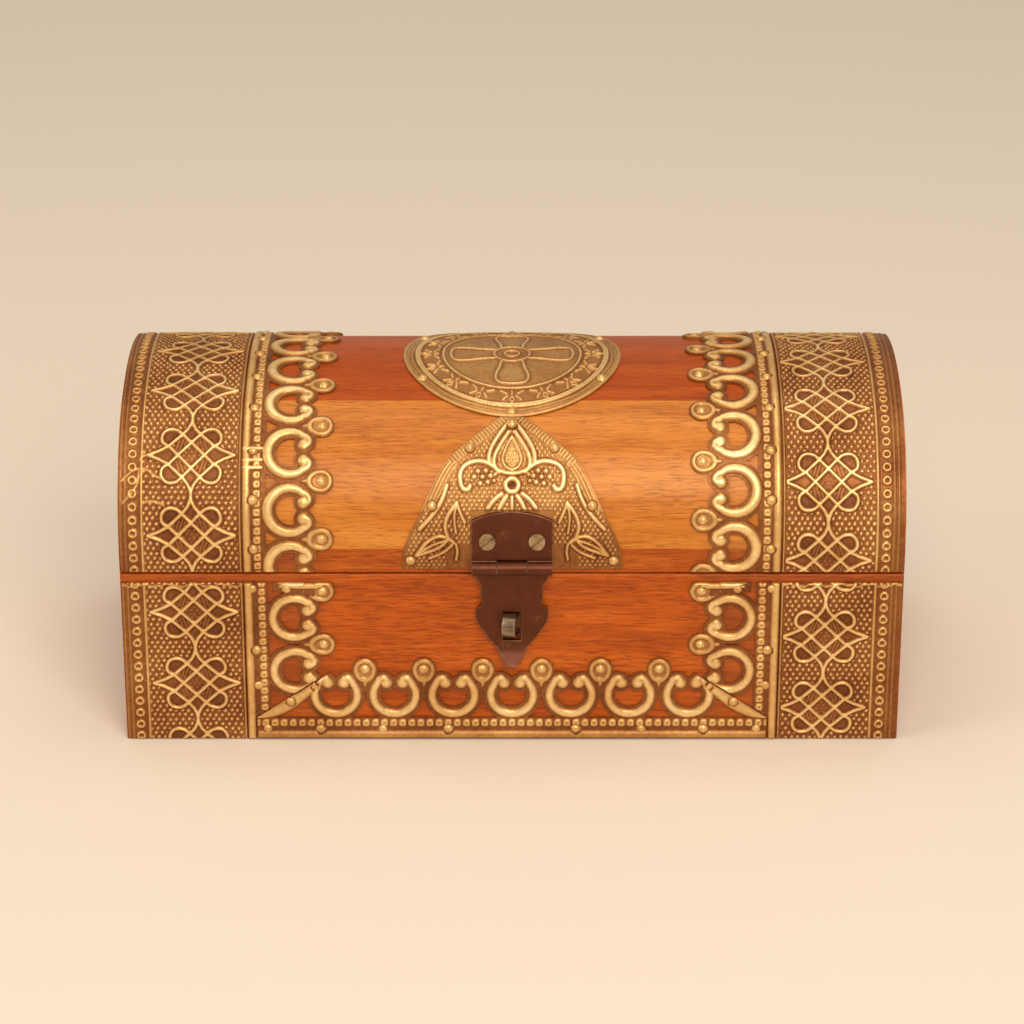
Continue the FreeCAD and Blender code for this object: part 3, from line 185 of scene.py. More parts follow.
def rounded(distance, half_width):
    """A half-round ridge, from 0 at its sides to 1 along its middle."""
    return np.sqrt(np.clip(1 - (distance / half_width) ** 2, 0, 1))


def repeat(value, pitch):
    """Place within a pattern that repeats, from minus to plus half the pitch."""
    return value - pitch * np.round(value / pitch)


def uneven(column, row, turn):
    """A fixed, uneven number from -1 to 1 for each square of a grid, from the digits of a large sine."""
    mixed = np.sin(column * 12.9898 + row * 78.233 + turn) * 43758.5453
    return 2 * (mixed - np.floor(mixed)) - 1


def dotted(u, v, pitch, radius):
    """Punched dots in staggered rows, each a little out of line."""
    height = ROW_SHARE * pitch
    row = np.floor(v / height)
    u = u + 0.5 * pitch * (row % 2)
    column, stray = np.floor(u / pitch), STRAY_SHARE * (height / 2 - radius)
    du = u - (column + 0.5) * pitch - stray * uneven(column, row, 0.0)
    dv = v - (row + 0.5) * height - stray * uneven(column, row, 2.0)
    return rounded(np.hypot(du, dv), radius)


def on_front(x, z, out):
    """Points on the front wall's face, out in front of it."""
    return np.stack([x, -FRONT - out, z], axis=1)


def points(parts):
    """The points among the parts that a bmesh operator returns."""
    return [part for part in parts if isinstance(part, bmesh.types.BMVert)]


def smooth(mesh, sharp):
    """Shades a mesh smoothly, apart from edges that turn by more than an angle in degrees."""
    mesh.polygons.foreach_set("use_smooth", np.ones(len(mesh.polygons), bool))
    mesh.set_sharp_from_angle(angle=math.radians(sharp))


def in_scene(name, data):
    """Puts a mesh, a lamp or a camera into the scene as an object."""
    made = bpy.data.objects.new(name, data)
    bpy.context.scene.collection.objects.link(made)
    return made


def pressed_sheet(name, left, right, low, high, pressing, place):
    """A brass sheet: a fine grid, trimmed to its outline, raised by its pressing and set in its place."""
    shape = bmesh.new()
    columns, rows = round((right - left) / STEP), round((high - low) / STEP)
    bmesh.ops.create_grid(shape, x_segments=columns, y_segments=rows, size=0.5)
    flat = np.array([vert.co for vert in shape.verts])
    u, v = left + (flat[:, 0] + 0.5) * (right - left), low + (flat[:, 1] + 0.5) * (high - low)
    # points a little past the outline are pulled in to it, and faces wholly past it are cut away
    past = pressing(u, v)[2]
    outside = [face for face in shape.faces if all(past[vert.index] > 0 for vert in face.verts)]
    slope_u, slope_v = pressing(u + PROBE, v)[2] - past, pressing(u, v + PROBE)[2] - past
    pull = np.clip(past, 0, 1.5 * STEP) / PROBE
    for vert, across, along in zip(shape.verts, u - pull * slope_u, v - pull * slope_v):
        vert.co = (across, along, 0)
    bmesh.ops.delete(shape, geom=outside, context="FACES")
    rim = [edge for edge in shape.edges if edge.is_boundary]
    for vert in points(bmesh.ops.extrude_edge_only(shape, edges=rim)["geom"]):
        vert.co.z = -1                  # marks the rim's lower side
    mesh = bpy.data.meshes.new(name)
    shape.to_mesh(mesh)
    shape.free()
    flat = np.empty(3 * len(mesh.vertices))
    mesh.vertices.foreach_get("co", flat)
    u, v, depth = flat.reshape(-1, 3).T
    height, tone, past = pressing(u, v)
    height = height * np.clip(-past / CUT_FALL, 0, 1)
    out = np.where(depth < 0, SHEET_SEAT, SHEET_TOP + height)
    mesh.vertices.foreach_set("co", (place(u, v, out) * MM).ravel())
    mesh.attributes.new("relief", "FLOAT", "POINT").data.foreach_set(
        "value", np.where(depth < 0, CUT_TONE, tone).astype(np.float32))
    smooth(mesh, 60)
    return in_scene(name, mesh)


def aged_brass(name, pressed=True):
    """Sheet brass gone brown in its hollows and rubbed to pale gold along the pressing."""
    finish, tree, surface = new_finish(name)
    place = add(tree, "ShaderNodeTexCoord").outputs["Object"]
    cloud = add(tree, "ShaderNodeTexNoise", {"Vector": place, "Scale": 1 / (14 * MM), "Detail": 4.0,
                                             "Roughness": 0.6}).outputs["Fac"]
    specks = add(tree, "ShaderNodeTexNoise", {"Vector": place, "Scale": 1 / (1.1 * MM),
                                              "Detail": 3.0}).outputs["Fac"]
    if pressed:
        rubbed = add(tree, "ShaderNodeAttribute", attribute_name="relief").outputs["Fac"]
    else:
        rubbed = add(tree, "ShaderNodeMapRange", {"Value": specks, "To Min": 0.6,
                                                  "To Max": 0.95}).outputs["Result"]
    worn = add(tree, "ShaderNodeMapRange", {"Value": cloud, "From Min": 0.3, "From Max": 0.7,
                                            "To Min": -0.11, "To Max": 0.11}).outputs["Result"]
    worn = add(tree, "ShaderNodeMath", {0: rubbed, 1: worn}, operation="ADD").outputs[0]
    grit = add(tree, "ShaderNodeMapRange", {"Value": specks, "From Min": 0.3, "From Max": 0.7,
                                            "To Min": -0.06, "To Max": 0.06}).outputs["Result"]
    worn = add(tree, "ShaderNodeMath", {0: worn, 1: grit}, operation="ADD", use_clamp=True).outputs[0]
    colour = add(tree, "ShaderNodeValToRGB", {"Fac": worn}, stops=[
        (0.0, "#5c3013"), (0.2, "#854e26"), (0.5, "#b07c45"), (0.8, "#dcb070"),
        (1.0, "#f3d5a0")]).outputs["Color"]
    rough = add(tree, "ShaderNodeMapRange", {"Value": worn, "To Min": 0.5, "To Max": 0.34}).outputs["Result"]
    bump = add(tree, "ShaderNodeBump", {"Height": specks, "Strength": 0.3,
                                        "Distance": 0.08 * MM}).outputs["Normal"]
    shader = add(tree, "ShaderNodeBsdfPrincipled", {
        "Base Color": colour, "Metallic": 0.55, "Roughness": rough, "Specular IOR Level": 0.3,
        "Normal": bump})
    tree.links.new(shader.outputs[0], surface)
    return finish


def fix_brass(piece, node, body):
    """Dresses a brass piece and puts it in its node's place on a body."""
    piece.data.materials.append(pressed_brass)
    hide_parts(node)
    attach(piece, body)


# A quarter of one knot, out from its middle; then the lines along a sheet, measured in from its outer edge.
KNOT_STRANDS = [[(0, 3.4), (3.4, 0)], [(0, 3.4), (2.3, 5.7)], [(3.4, 0), (5.8, 2.4)],
                [(11.2, 0), (8.3, 1.1), (5.9, 2.4), (2.3, 5.7), (0.9, 7.4), (0.2, 9.0), (0, 10.4)],
                flowing([(5.9, 2.4), (7.6, 3.4), (7.7, 5.6), (6.2, 7.3), (3.8, 7.1), (2.3, 5.7)])]
FOLDS, OUTER_RULE, INNER_RULE = (0.4, 1.6), 5.9, 31.1
FIELD_START, FIELD_END = 6.3, 30.7
RING_LINE, RING_PITCH, RING_START, RING_RADIUS = 3.5, 3.4, 1.2, 0.9
TURNED_EDGE = 0.7                       # the upper edge is turned over, unevenly, so far down
STRAND_HALF, RING_HALF, RULE_HALF, FOLD_HALF, TURNED_HALF = 0.5, 0.38, 0.42, 0.4, 0.35
STRAND_RISE, BORDER_RISE, DOT_RISE = 0.5, 0.45, 0.36
HATCH_PITCH, HATCH_HALF = 0.9, 0.22
DOTS, FINE_DOTS = (1.62, 0.5), (1.3, 0.36)          # pitch and radius
SHADOW_LINE, SHADOW_HALF = 0.75, 0.3                # painted shade beside the strands


def knot_pressing(start, low, high, shift=0.0, creases=()):
    """The pressing of a band of knots whose first knot is at a run, with edge rules and a row of rings."""
    def pressing(x, run):
        sheet = BAND_OUTER - np.abs(x)
        edge = sheet - shift
        inside = (edge > FIELD_START) & (sheet < FIELD_END)
        u, v = np.abs(edge - BAND_OUTER + KNOT_MIDDLE), np.abs(repeat(run - start, KNOT_PITCH))
        strand = np.minimum.reduce([from_path(u, v, path) for path in KNOT_STRANDS])
        rings = np.abs(np.hypot(edge - RING_LINE, repeat(run - RING_START, RING_PITCH)) - RING_RADIUS)
        folded = np.minimum.reduce([np.abs(edge - fold) for fold in FOLDS])
        turned = np.abs(high - TURNED_EDGE - run + 0.3 * np.sin(0.9 * x) + 0.2 * np.sin(2.3 * x))
        rules = np.minimum(np.abs(edge - OUTER_RULE), np.abs(sheet - INNER_RULE) + 0.1)
        # hatched cells where strands cross, plain loops, a finely dotted middle and a dotted ground
        cells = (np.abs(u + v - 5.7) < 2.0) & (np.abs(u - v) < 3.0) & (strand > 0.7)
        hatch = rounded(repeat(u + 0.35 * v, HATCH_PITCH), HATCH_HALF) * cells
        loop = (u + v > 8.4) & (from_path(u, v, [(4.2, 4.2), (6.0, 5.6)]) < 2.1)
        middle = dotted(x, run, *FINE_DOTS) * (u + v < 2.7)
        outside = (u + v > 8.0) & (strand > 0.8) & ~loop & (v * 2.6 + u > 11.0)
        dots = np.maximum(dotted(x, run, *DOTS) * outside, 0.5 * np.maximum(hatch, middle)) * inside
        crumpled = np.full_like(x, FAR)
        for crease in creases:
            crumpled = np.minimum(crumpled, from_path(x, run, flowing(crease)))
        strand = np.where(inside, strand, FAR)
        line = np.maximum(rounded(strand, STRAND_HALF), 0.65 * rounded(crumpled, STRAND_HALF))
        border = np.maximum.reduce([rounded(rings, RING_HALF), 0.95 * rounded(rules, RULE_HALF),
                                    0.5 * rounded(folded, FOLD_HALF), 0.8 * rounded(turned, TURNED_HALF)])
        height = np.maximum.reduce([STRAND_RISE * line, BORDER_RISE * border, DOT_RISE * dots])
        # painted shade: the ground is darkened beside the strands
        shadow = np.exp(-((strand - SHADOW_LINE) / SHADOW_HALF) ** 2)
        tone = np.maximum.reduce([GROUND - 0.1 * shadow - 0.05 * (loop | cells), 0.92 * line, 0.8 * border,
                                  0.88 * dots])
        past = np.maximum.reduce([-sheet, sheet - BAND_OUTER + BAND_INNER, low - run, run - high])
        return height, tone, past
    return pressing


pressed_brass = aged_brass("aged_sheet_brass")
RIGHT_SHIFT = 1.2                       # right-hand sheets were cut with the pattern further from their edge
for side, sign, start, shift in (("left", -1, 16.7, 0.0), ("right", 1, 9.5, RIGHT_SHIFT)):
    spans = sorted((sign * BAND_OUTER, sign * BAND_INNER))
    panel = pressed_sheet(f"brass_base_{side}_panel", *spans, PANEL_LOW, PANEL_HIGH,
                          knot_pressing(start, PANEL_LOW, PANEL_HIGH, shift), on_front)
    fix_brass(panel, f"base_{side}_panel", "base")

# Pierced scroll borders on the base: brass sheet with a half-round bar, a row of beads and C-scrolls.
# They are pressed, cut out round the scrolls and pinned: two upright and one along the foot,
# meeting on mitres.
STRIP_EDGE, STRIP_INNER, STRIP_SPARE = 69.5, 46.1, 0.3
BAR, WEB, FLANGE = 2.2, 6.1, 0.85       # widths of the bar, the web with it and the sheet round a scroll
BEAD_PITCH, BEAD_HALF, BEAD_SIDE = 2.4, 1.18, 0.4
BASE_PITCH = 15.4
BASE_FORM = {"beads": 4.6, "line": 12.9, "radius": 5.6, "stem": 1.15}
CURL = flowing([(3.1, 4.7), (4.6, 4.1), (5.2, 3.1), (4.8, 2.1), (3.8, 1.9)])
CURL_TURN = math.tan(math.radians(57))  # where the ring of a scroll ends and its curl begins
BUD_OUT, BUD_ASIDE, BUD = 3.5, 2.1, 1.6
EYELET_LINE, EYELET_RADIUS, EYELET_LEAN = 20.4, 3.2, 0.74
EYELET_RIM, EYELET_RIM_HALF, EYELET_HOLLOW = 2.35, 0.62, 1.9
DROP_START, DROP_END = 15.4, 17.6       # a drop-shaped ridge that leads to each eyelet
PIN_LINE, PIN_SEAT = 2.8, 1.45
CORNER_X, MITRE_FOOT, MITRE_SLOPE, MITRE_GAP = 67.1, 6.7, math.tan(math.radians(34)), 0.1


def border_pressing(across, along, scrolls, pitch, pins, form):
    """Height, tone and outline of a straight scroll border; scrolls is the place of one scroll along it."""
    u, v = across - form["line"], np.abs(repeat(along - scrolls, pitch))
    ring = np.where((u > 0) & (v < u * CURL_TURN), FAR, np.abs(np.hypot(u, v) - form["radius"]))
    stem = np.interp(u, [-6, 3, 5.5], [form["stem"], 1.05, 0.8])
    line = np.minimum(ring, from_path(u, v, CURL))
    bud = np.hypot(u - BUD_OUT, v - BUD_ASIDE)
    scroll_top = np.maximum(rounded(line / stem, 1), rounded(bud, BUD))
    # between two scrolls, a tail of sheet widens out to a round eyelet
    aside, past_line = pitch / 2 - v, across - EYELET_LINE
    eyelet = np.hypot(np.where(past_line < 0, EYELET_LEAN, 1) * past_line, aside)
    tail = np.maximum(aside - np.interp(across, [14.0, 19.5], [0.7, 2.8]), np.abs(across - 17.2) - 3.2)
    outline = np.minimum.reduce([np.maximum(-across, across - WEB), line - stem - FLANGE, bud - BUD - FLANGE,
                                 eyelet - EYELET_RADIUS, tail])
    drop = rounded(aside / np.interp(across, [15.6, DROP_END], [0.3, 1.0]), 1)
    drop = drop * (across > DROP_START) * (across < DROP_END)
    rim = np.maximum(rounded(eyelet - EYELET_RIM, EYELET_RIM_HALF), 0.9 * drop)
    # each bead is a rounded square with a dimple
    bead_u, bead_v = np.abs(across - form["beads"]), np.abs(repeat(along, BEAD_PITCH))
    square = 0.6 * np.maximum(bead_u, bead_v) + 0.4 * np.hypot(bead_u, bead_v)
    bead = np.clip((BEAD_HALF - square) / BEAD_SIDE, 0, 1) - 0.35 * rounded(np.hypot(bead_u, bead_v), 0.45)
    bar_top = rounded(across - BAR / 2, BAR / 2)
    height = np.maximum.reduce([0.7 * bar_top, 0.45 * bead, 0.72 * scroll_top, 0.45 * rim])
    tone = np.maximum.reduce([0.3 + 0.5 * bar_top, 0.8 * bead, 0.25 + 0.65 * scroll_top, 0.2 + 0.5 * rim])
    plain = np.where(eyelet < EYELET_HOLLOW, 0.42, GROUND)
    tone = np.where(np.maximum.reduce([bar_top, bead, scroll_top, rim]) > 0.02, tone, plain)
    for pin_across, pin_along in pins:
        seat = np.hypot(across - pin_across, along - pin_along)
        height, tone = np.where(seat < PIN_SEAT, 0, height), np.where(seat < PIN_SEAT, GROUND, tone)
    return height, tone, outline


def mitre(x):
    """Height of the mitre line over the foot."""
    return MITRE_FOOT + (CORNER_X - np.abs(x)) * MITRE_SLOPE


SIDE_SCROLL, SIDE_PIN, ARM_PIN = 20.2, 26.25, 43.3          # heights of one scroll and of two pins
ARM_LOW, ARM_MIDDLE, ARM_HALF, ROD_LINE = 43.2, 14.0, 6.4, 44.8


def side_border(x, z):
    """An upright border of the base: scrolls above the mitre, a bar down to the foot and an arm on top."""
    across = STRIP_EDGE - np.abs(x)
    pins = [(PIN_LINE, SIDE_PIN)]
    height, tone, outline = border_pressing(across, z, SIDE_SCROLL, BASE_PITCH, pins, BASE_FORM)
    under_arm = (z > 41.9) & (across > 15.5) & (across < 18.4)
    height, tone = np.where(under_arm, 0, height), np.where(under_arm, GROUND, tone)
    field = np.maximum(outline, mitre(x) + MITRE_GAP - z)
    bar = np.maximum(-across, across - BAR)
    arm = np.maximum(np.abs(across - ARM_MIDDLE) - ARM_HALF, ARM_LOW - z)
    past = np.maximum.reduce([np.minimum.reduce([field, bar, arm]), PANEL_LOW - z, z - PANEL_HIGH])
    rod = rounded((z - ROD_LINE) / np.interp(across, [9.5, 14, 23], [0.3, 0.8, 0.7]), 1)
    rod = rod * (across > 9) * (across < 20.5)
    rod = np.where(np.hypot(across - EYELET_LINE, z - ARM_PIN) < PIN_SEAT, 0, rod)
    return np.maximum(height, 0.55 * rod), np.maximum(tone, 0.8 * rod), past


FOOT_HEIGHT, FOOT_PINS, FOOT_SHADE = 24.0, (-50.3, -16.8, 16.8, 50.3), 0.7
FOOT_SCROLLS_END = 53.9
WEDGE_LENGTH, WEDGE_END, WEDGE_PINS, WEDGE_PIN_DROP = 16.5, 50.4, (58.07, 51.35), 1.7


def foot_border(x, z):
    """The border along the foot, with a leaf-shaped wedge under each mitre."""
    across, under = z - PANEL_LOW, mitre(x) - MITRE_GAP - z
    pins = [(PIN_LINE, place) for place in FOOT_PINS]
    height, tone, outline = border_pressing(across, x, 0.0, BASE_PITCH, pins, BASE_FORM)
    # painted shade: the bar along the foot is darker
    tone = np.where(across < BAR, FOOT_SHADE * tone, tone)
    far = np.abs(x) > FOOT_SCROLLS_END
    outline = np.where(far, np.maximum(across - WEB, -across), outline)
    height = np.where(far & (across > WEB), 0, height)
    share = np.clip((CORNER_X - np.abs(x)) / WEDGE_LENGTH, 0, 1)
    depth = 0.2 + 3.9 * np.sin(math.pi * 0.9 * share) ** 0.85
    wedge = np.maximum.reduce([-under, under - depth, WEDGE_END - np.abs(x)])
    leaf = np.where(wedge < 0, rounded((under - depth / 2) / (depth / 2), 1), 0)
    for pin_x in WEDGE_PINS:
        seat = np.hypot(np.abs(x) - pin_x, z - mitre(pin_x) + WEDGE_PIN_DROP)
        leaf = np.where(seat < PIN_SEAT, 0, leaf)
    height = np.where(wedge < 0, np.maximum(0.5 * leaf, np.where(share > 0.85, height, 0)), height)
    tone = np.where(wedge < 0, 0.25 + 0.55 * leaf, tone)
    past = np.maximum.reduce([np.minimum(outline, wedge), -under, np.abs(x) - CORNER_X, -across])
    return height, tone, past


for side, sign in (("left", -1), ("right", 1)):
    spans = sorted((sign * STRIP_EDGE, sign * (STRIP_INNER - STRIP_SPARE)))
    strip = pressed_sheet(f"brass_base_{side}_scrolls", *spans, PANEL_LOW, PANEL_HIGH, side_border, on_front)
    fix_brass(strip, f"base_{side}_scrolls", "base")
strip = pressed_sheet("brass_base_foot_scrolls", -CORNER_X, CORNER_X, PANEL_LOW, PANEL_LOW + FOOT_HEIGHT,
                      foot_border, on_front)
fix_brass(strip, "base_foot_scrolls", "base")

# Brass pins of the base: small round-headed nails driven through the eyelets and the webs into the wood.
# The wide ones are the CAD's; smaller ones hold the corners, the arms and the foot between them.
SMALL_PINS = [(67.3, 44.1), (58.5, 44.1), (66.4, 16.0), (64.3, 3.2), (34.0, 3.1)]
SMALL_PIN_RADIUS, SMALL_PIN_CROWN = 1.2, 0.65


def finished(shape, name, finish, body, slot, *nodes):
    """Makes a piece of a shape in mm, dresses it and puts it on a body, in the place of any nodes named."""
    bmesh.ops.scale(shape, vec=(MM, MM, MM), verts=shape.verts[:])
    mesh = bpy.data.meshes.new(name)
    shape.to_mesh(mesh)
    shape.free()
    smooth(mesh, 35)
    mesh.materials.append(finish)
    piece = in_scene(name, mesh)
    if nodes:
        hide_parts(*nodes)
    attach(piece, body)
    return piece


pin_brass = aged_brass("rubbed_brass_pins", pressed=False)
dress(pin_brass, "base_pins")
heads = bmesh.new()
for x, z in SMALL_PINS + [(-x, z) for x, z in SMALL_PINS]:
    place = Matrix.Translation((x, -(FRONT + SHEET_TOP), z)) @ Matrix.Diagonal((1, SMALL_PIN_CROWN, 1, 1))
    bmesh.ops.create_uvsphere(heads, u_segments=16, v_segments=10, radius=SMALL_PIN_RADIUS, matrix=place)
finished(heads, "brass_base_small_pins", pin_brass, "base", "brass")

# Staple: a strip of steel bent to a loop, its two legs driven into the front wall.
# It has been knocked a little to one side, so its eye shows from the front.
STAPLE_HALF, STAPLE_GAUGE, STAPLE_RADIUS = 1.8, 1.0, 3.1
STAPLE_Y, STAPLE_Z, STAPLE_LEG = -48.9, 34.7, 9.4
STAPLE_TURN, STAPLE_SHIFT = math.radians(-12), (0.3, 0.25, 0)
FILED = 0.15                            # width that filing takes off a sharp edge


def dull_steel(name, dark, light, roughness):
    """Rolled steel with a thin uneven tarnish."""
    finish, tree, surface = new_finish(name)
    place = add(tree, "ShaderNodeTexCoord").outputs["Object"]
    stain = add(tree, "ShaderNodeTexNoise", {"Vector": place, "Scale": 1 / (3.5 * MM), "Detail": 5.0,
                                             "Roughness": 0.65}).outputs["Fac"]
    colour = add(tree, "ShaderNodeValToRGB", {"Fac": stain},
                 stops=[(0.35, dark), (0.62, light)]).outputs["Color"]
    rough = add(tree, "ShaderNodeMapRange", {"Value": stain, "To Min": roughness + 0.12,
                                             "To Max": roughness - 0.08}).outputs["Result"]
    bump = add(tree, "ShaderNodeBump", {"Height": stain, "Strength": 0.2,
                                        "Distance": 0.1 * MM}).outputs["Normal"]
    shader = add(tree, "ShaderNodeBsdfPrincipled", {
        "Base Color": colour, "Metallic": 1.0, "Roughness": rough, "Normal": bump})
    tree.links.new(shader.outputs[0], surface)
    return finish


def soften(piece):
    """Breaks a piece's sharp edges, as a file would."""
    edges = piece.modifiers.new("filed_edges", "BEVEL")
    edges.width, edges.segments = FILED * MM, 2
    edges.limit_method, edges.angle_limit = "ANGLE", math.radians(50)


loop = bmesh.new()
foot = (STAPLE_Y + STAPLE_LEG, STAPLE_Z - STAPLE_RADIUS)
loop.edges.new([loop.verts.new((side, *foot)) for side in (-STAPLE_HALF, STAPLE_HALF)])
end = bmesh.ops.spin(loop, geom=loop.verts[:] + loop.edges[:], cent=(0, 0, 0), axis=(1, 0, 0),
                     dvec=(0, -STAPLE_LEG, 0), angle=0, steps=1)["geom_last"]
end = bmesh.ops.spin(loop, geom=end, cent=(0, STAPLE_Y, STAPLE_Z), axis=(1, 0, 0), angle=-math.pi,
                     steps=24)["geom_last"]
bmesh.ops.spin(loop, geom=end, cent=(0, 0, 0), axis=(1, 0, 0), dvec=(0, STAPLE_LEG, 0), angle=0, steps=1)
bmesh.ops.recalc_face_normals(loop, faces=loop.faces[:])
bmesh.ops.solidify(loop, geom=loop.faces[:], thickness=STAPLE_GAUGE)
bmesh.ops.rotate(loop, cent=(0, -FRONT, 0), matrix=Matrix.Rotation(STAPLE_TURN, 3, "Z"), verts=loop.verts[:])
bmesh.ops.translate(loop, vec=STAPLE_SHIFT, verts=loop.verts[:])
staple_steel = dull_steel("bright_strip_steel", "#54412f", "#a08a72", 0.36)
soften(finished(loop, "steel_staple", staple_steel, "base", "steel", "staple"))

# Back hinges: two butt hinges of sheet iron, their leaves rolled round steel pins and then browned.
# Steel screws hold one leaf to the back wall and the other to the lid's back rail.


def browned_iron(name, dark, middle, edge_wear_and_highlight):
    """Browned iron: dark and satin, lighter along its edges, partly from wear and partly as a painted
    highlight.
    """
    finish, tree, surface = new_finish(name)
    place = add(tree, "ShaderNodeTexCoord").outputs["Object"]
    patch = add(tree, "ShaderNodeTexNoise", {"Vector": place, "Scale": 1 / (4 * MM), "Detail": 6.0,
                                             "Roughness": 0.7}).outputs["Fac"]
    # painted highlight and wear: the colour turns lighter wherever the bevel bends the normal, along every
    # edge
    bevel = add(tree, "ShaderNodeBevel", {"Radius": 0.35 * MM}, samples=8).outputs["Normal"]
    face = add(tree, "ShaderNodeNewGeometry").outputs["True Normal"]
    level = add(tree, "ShaderNodeVectorMath", {0: bevel, 1: face}, operation="DOT_PRODUCT").outputs["Value"]
    edge = add(tree, "ShaderNodeMapRange", {"Value": level, "From Min": 1.0, "From Max": 0.86,
                                            "To Max": 0.4}).outputs["Result"]
    worn = add(tree, "ShaderNodeMath", {0: patch, 1: edge}, operation="ADD").outputs[0]
    colour = add(tree, "ShaderNodeValToRGB", {"Fac": worn},
                 stops=[(0.3, dark), (0.62, middle), (0.95, edge_wear_and_highlight)]).outputs["Color"]
    rough = add(tree, "ShaderNodeMapRange", {"Value": patch, "To Min": 0.46,
                                             "To Max": 0.34}).outputs["Result"]
    bump = add(tree, "ShaderNodeBump", {"Height": patch, "Strength": 0.2, "Distance": 0.12 * MM,
                                        "Normal": bevel}).outputs["Normal"]
    shader = add(tree, "ShaderNodeBsdfPrincipled", {
        "Base Color": colour, "Metallic": 0.55, "Roughness": rough, "Normal": bump})
    tree.links.new(shader.outputs[0], surface)
    return finish


hinge_iron = browned_iron("browned_hinge_iron", "#4c260f", "#623418", "#9a7358")
screw_steel = dull_steel("dull_screw_steel", "#7c6244", "#bfa27c", 0.45)
for side in ("left", "right"):
    dress(hinge_iron, f"{side}_hinge_base_leaf", f"{side}_hinge_lid_leaf", f"{side}_hinge_pin")
dress(screw_steel, "base_hinge_screws", "lid_hinge_screws")

# Lid boards: a barrel of five staves on two curved ends, of the same hardwood.
# The rails and staves are planed to the arch, glued edge to edge and varnished with the base.
rail_wood = varnished_wood("varnished_lid_rails", "#923e08", "#a84e0c", "#bc621a", PORE)
stave_wood = varnished_wood("varnished_lid_staves", "#b0641a", "#c4762a", "#d08638", "#824210")
top_wood = varnished_wood("varnished_top_stave", "#9a3e08", "#a8480c", "#b45418", "#762a06")
dress(rail_wood, "lid_front_rail", "lid_back_rail")
dress(stave_wood, "lid_front_stave", "lid_back_stave")
dress(top_wood, "lid_top_stave")
dress(end_wood, "lid_left_end", "lid_right_end")

# Knotwork bands over the lid: the same pressed brass sheet as the panels, bent over the barrel at each end.
# The left one has been creased by a knock near its front.
SPRING = 7.0                            # the lid's front rises straight so far before it bends
SHOULDER, SHOULDER_Y, SHOULDER_Z, SHOULDER_TURN = 33.12, -12.38, 55.3, math.radians(72.7)
CROWN, CROWN_Z = 74.76, 15.54           # radius and middle of the flatter arc over the shoulders
SHOULDER_END = SPRING + SHOULDER * SHOULDER_TURN
TOP_RUN = SHOULDER_END + CROWN * (math.pi / 2 - SHOULDER_TURN)
BAND_START, BAND_STOP = 0.6, 142.6
LEFT_CREASES = [[(-100.7, 24.6), (-98.4, 27.0), (-95.7, 28.2), (-93.8, 27.6), (-91.7, 25.9), (-89.6, 25.3)],
                [(-95.7, 30.2), (-95.5, 31.1), (-93.7, 31.7)],
                [(-100.2, 19.2), (-98.3, 21.1), (-96.3, 23.8), (-95.9, 27.4)],
                [(-94.6, 19.4), (-92.3, 19.8), (-89.6, 18.6)]]


def on_arch(x, run, out):
    """Points over the barrel: run goes up from the front rim and over to the back one."""
    half = np.minimum(run, 2 * TOP_RUN - run)
    shoulder = half < SHOULDER_END
    tilt = np.where(shoulder, np.maximum(half - SPRING, 0) / SHOULDER,
                    SHOULDER_TURN + (half - SHOULDER_END) / CROWN)
    reach = np.where(shoulder, SHOULDER, CROWN) + out
    y = np.where(shoulder, SHOULDER_Y, 0) - reach * np.cos(tilt)
    z = np.where(shoulder, SHOULDER_Z, CROWN_Z) + reach * np.sin(tilt) + np.minimum(half - SPRING, 0)
    return np.stack([x, np.where(run > TOP_RUN, -y, y), z], axis=1)


for side, sign, start, shift, creases in (("left", -1, 10.8, 0.0, LEFT_CREASES),
                                          ("right", 1, 3.9, RIGHT_SHIFT, ())):
    spans = sorted((sign * BAND_OUTER, sign * BAND_INNER))
    band = pressed_sheet(f"brass_lid_{side}_band", *spans, BAND_START, BAND_STOP,
                         knot_pressing(start, BAND_START, BAND_STOP, shift, creases), on_arch)
    fix_brass(band, f"lid_{side}_band", "lid")

# Scroll borders over the lid: brass strips, cut and pressed as those of the base and bent with the barrel.
# A row of pins along the web holds each one. The left one's bar has buckled in three places.
LID_PITCH = 15.0
LID_FORM = {"beads": 3.8, "line": 12.3, "radius": 5.75, "stem": 1.45}
LID_PIN_STEP = (BAND_STOP - BAND_START) / 11
BUCKLE_START, BUCKLE_END, BUCKLE_HALF = 0.3, 5.0, 0.6


def lid_border(first, buckles=()):
    """The pressing of one lid border, whose first scroll is at a run; buckles are runs where it folded."""
    pins = [(PIN_LINE, TOP_RUN + LID_PIN_STEP * count) for count in range(-5, 6)]

    def pressing(x, run):
        across = STRIP_EDGE - np.abs(x)
        height, tone, outline = border_pressing(across, run, first, LID_PITCH, pins, LID_FORM)
        for at in buckles:
            ridge = rounded(from_line(across, run, (BUCKLE_START, at), (BUCKLE_END, at)), BUCKLE_HALF)
            height, tone = np.maximum(height, 0.7 * ridge), np.maximum(tone, 0.95 * ridge)
        return height, tone, np.maximum.reduce([outline, BAND_START - run, run - BAND_STOP])
    return pressing


for side, sign, first, buckles in (("left", -1, 2.3, (28.2, 30.2, 33.3)), ("right", 1, 7.4, ())):
    spans = sorted((sign * STRIP_EDGE, sign * (STRIP_INNER - STRIP_SPARE)))
    strip = pressed_sheet(f"brass_lid_{side}_scrolls", *spans, BAND_START, BAND_STOP,
                          lid_border(first, buckles), on_arch)
    fix_brass(strip, f"lid_{side}_scrolls", "lid")

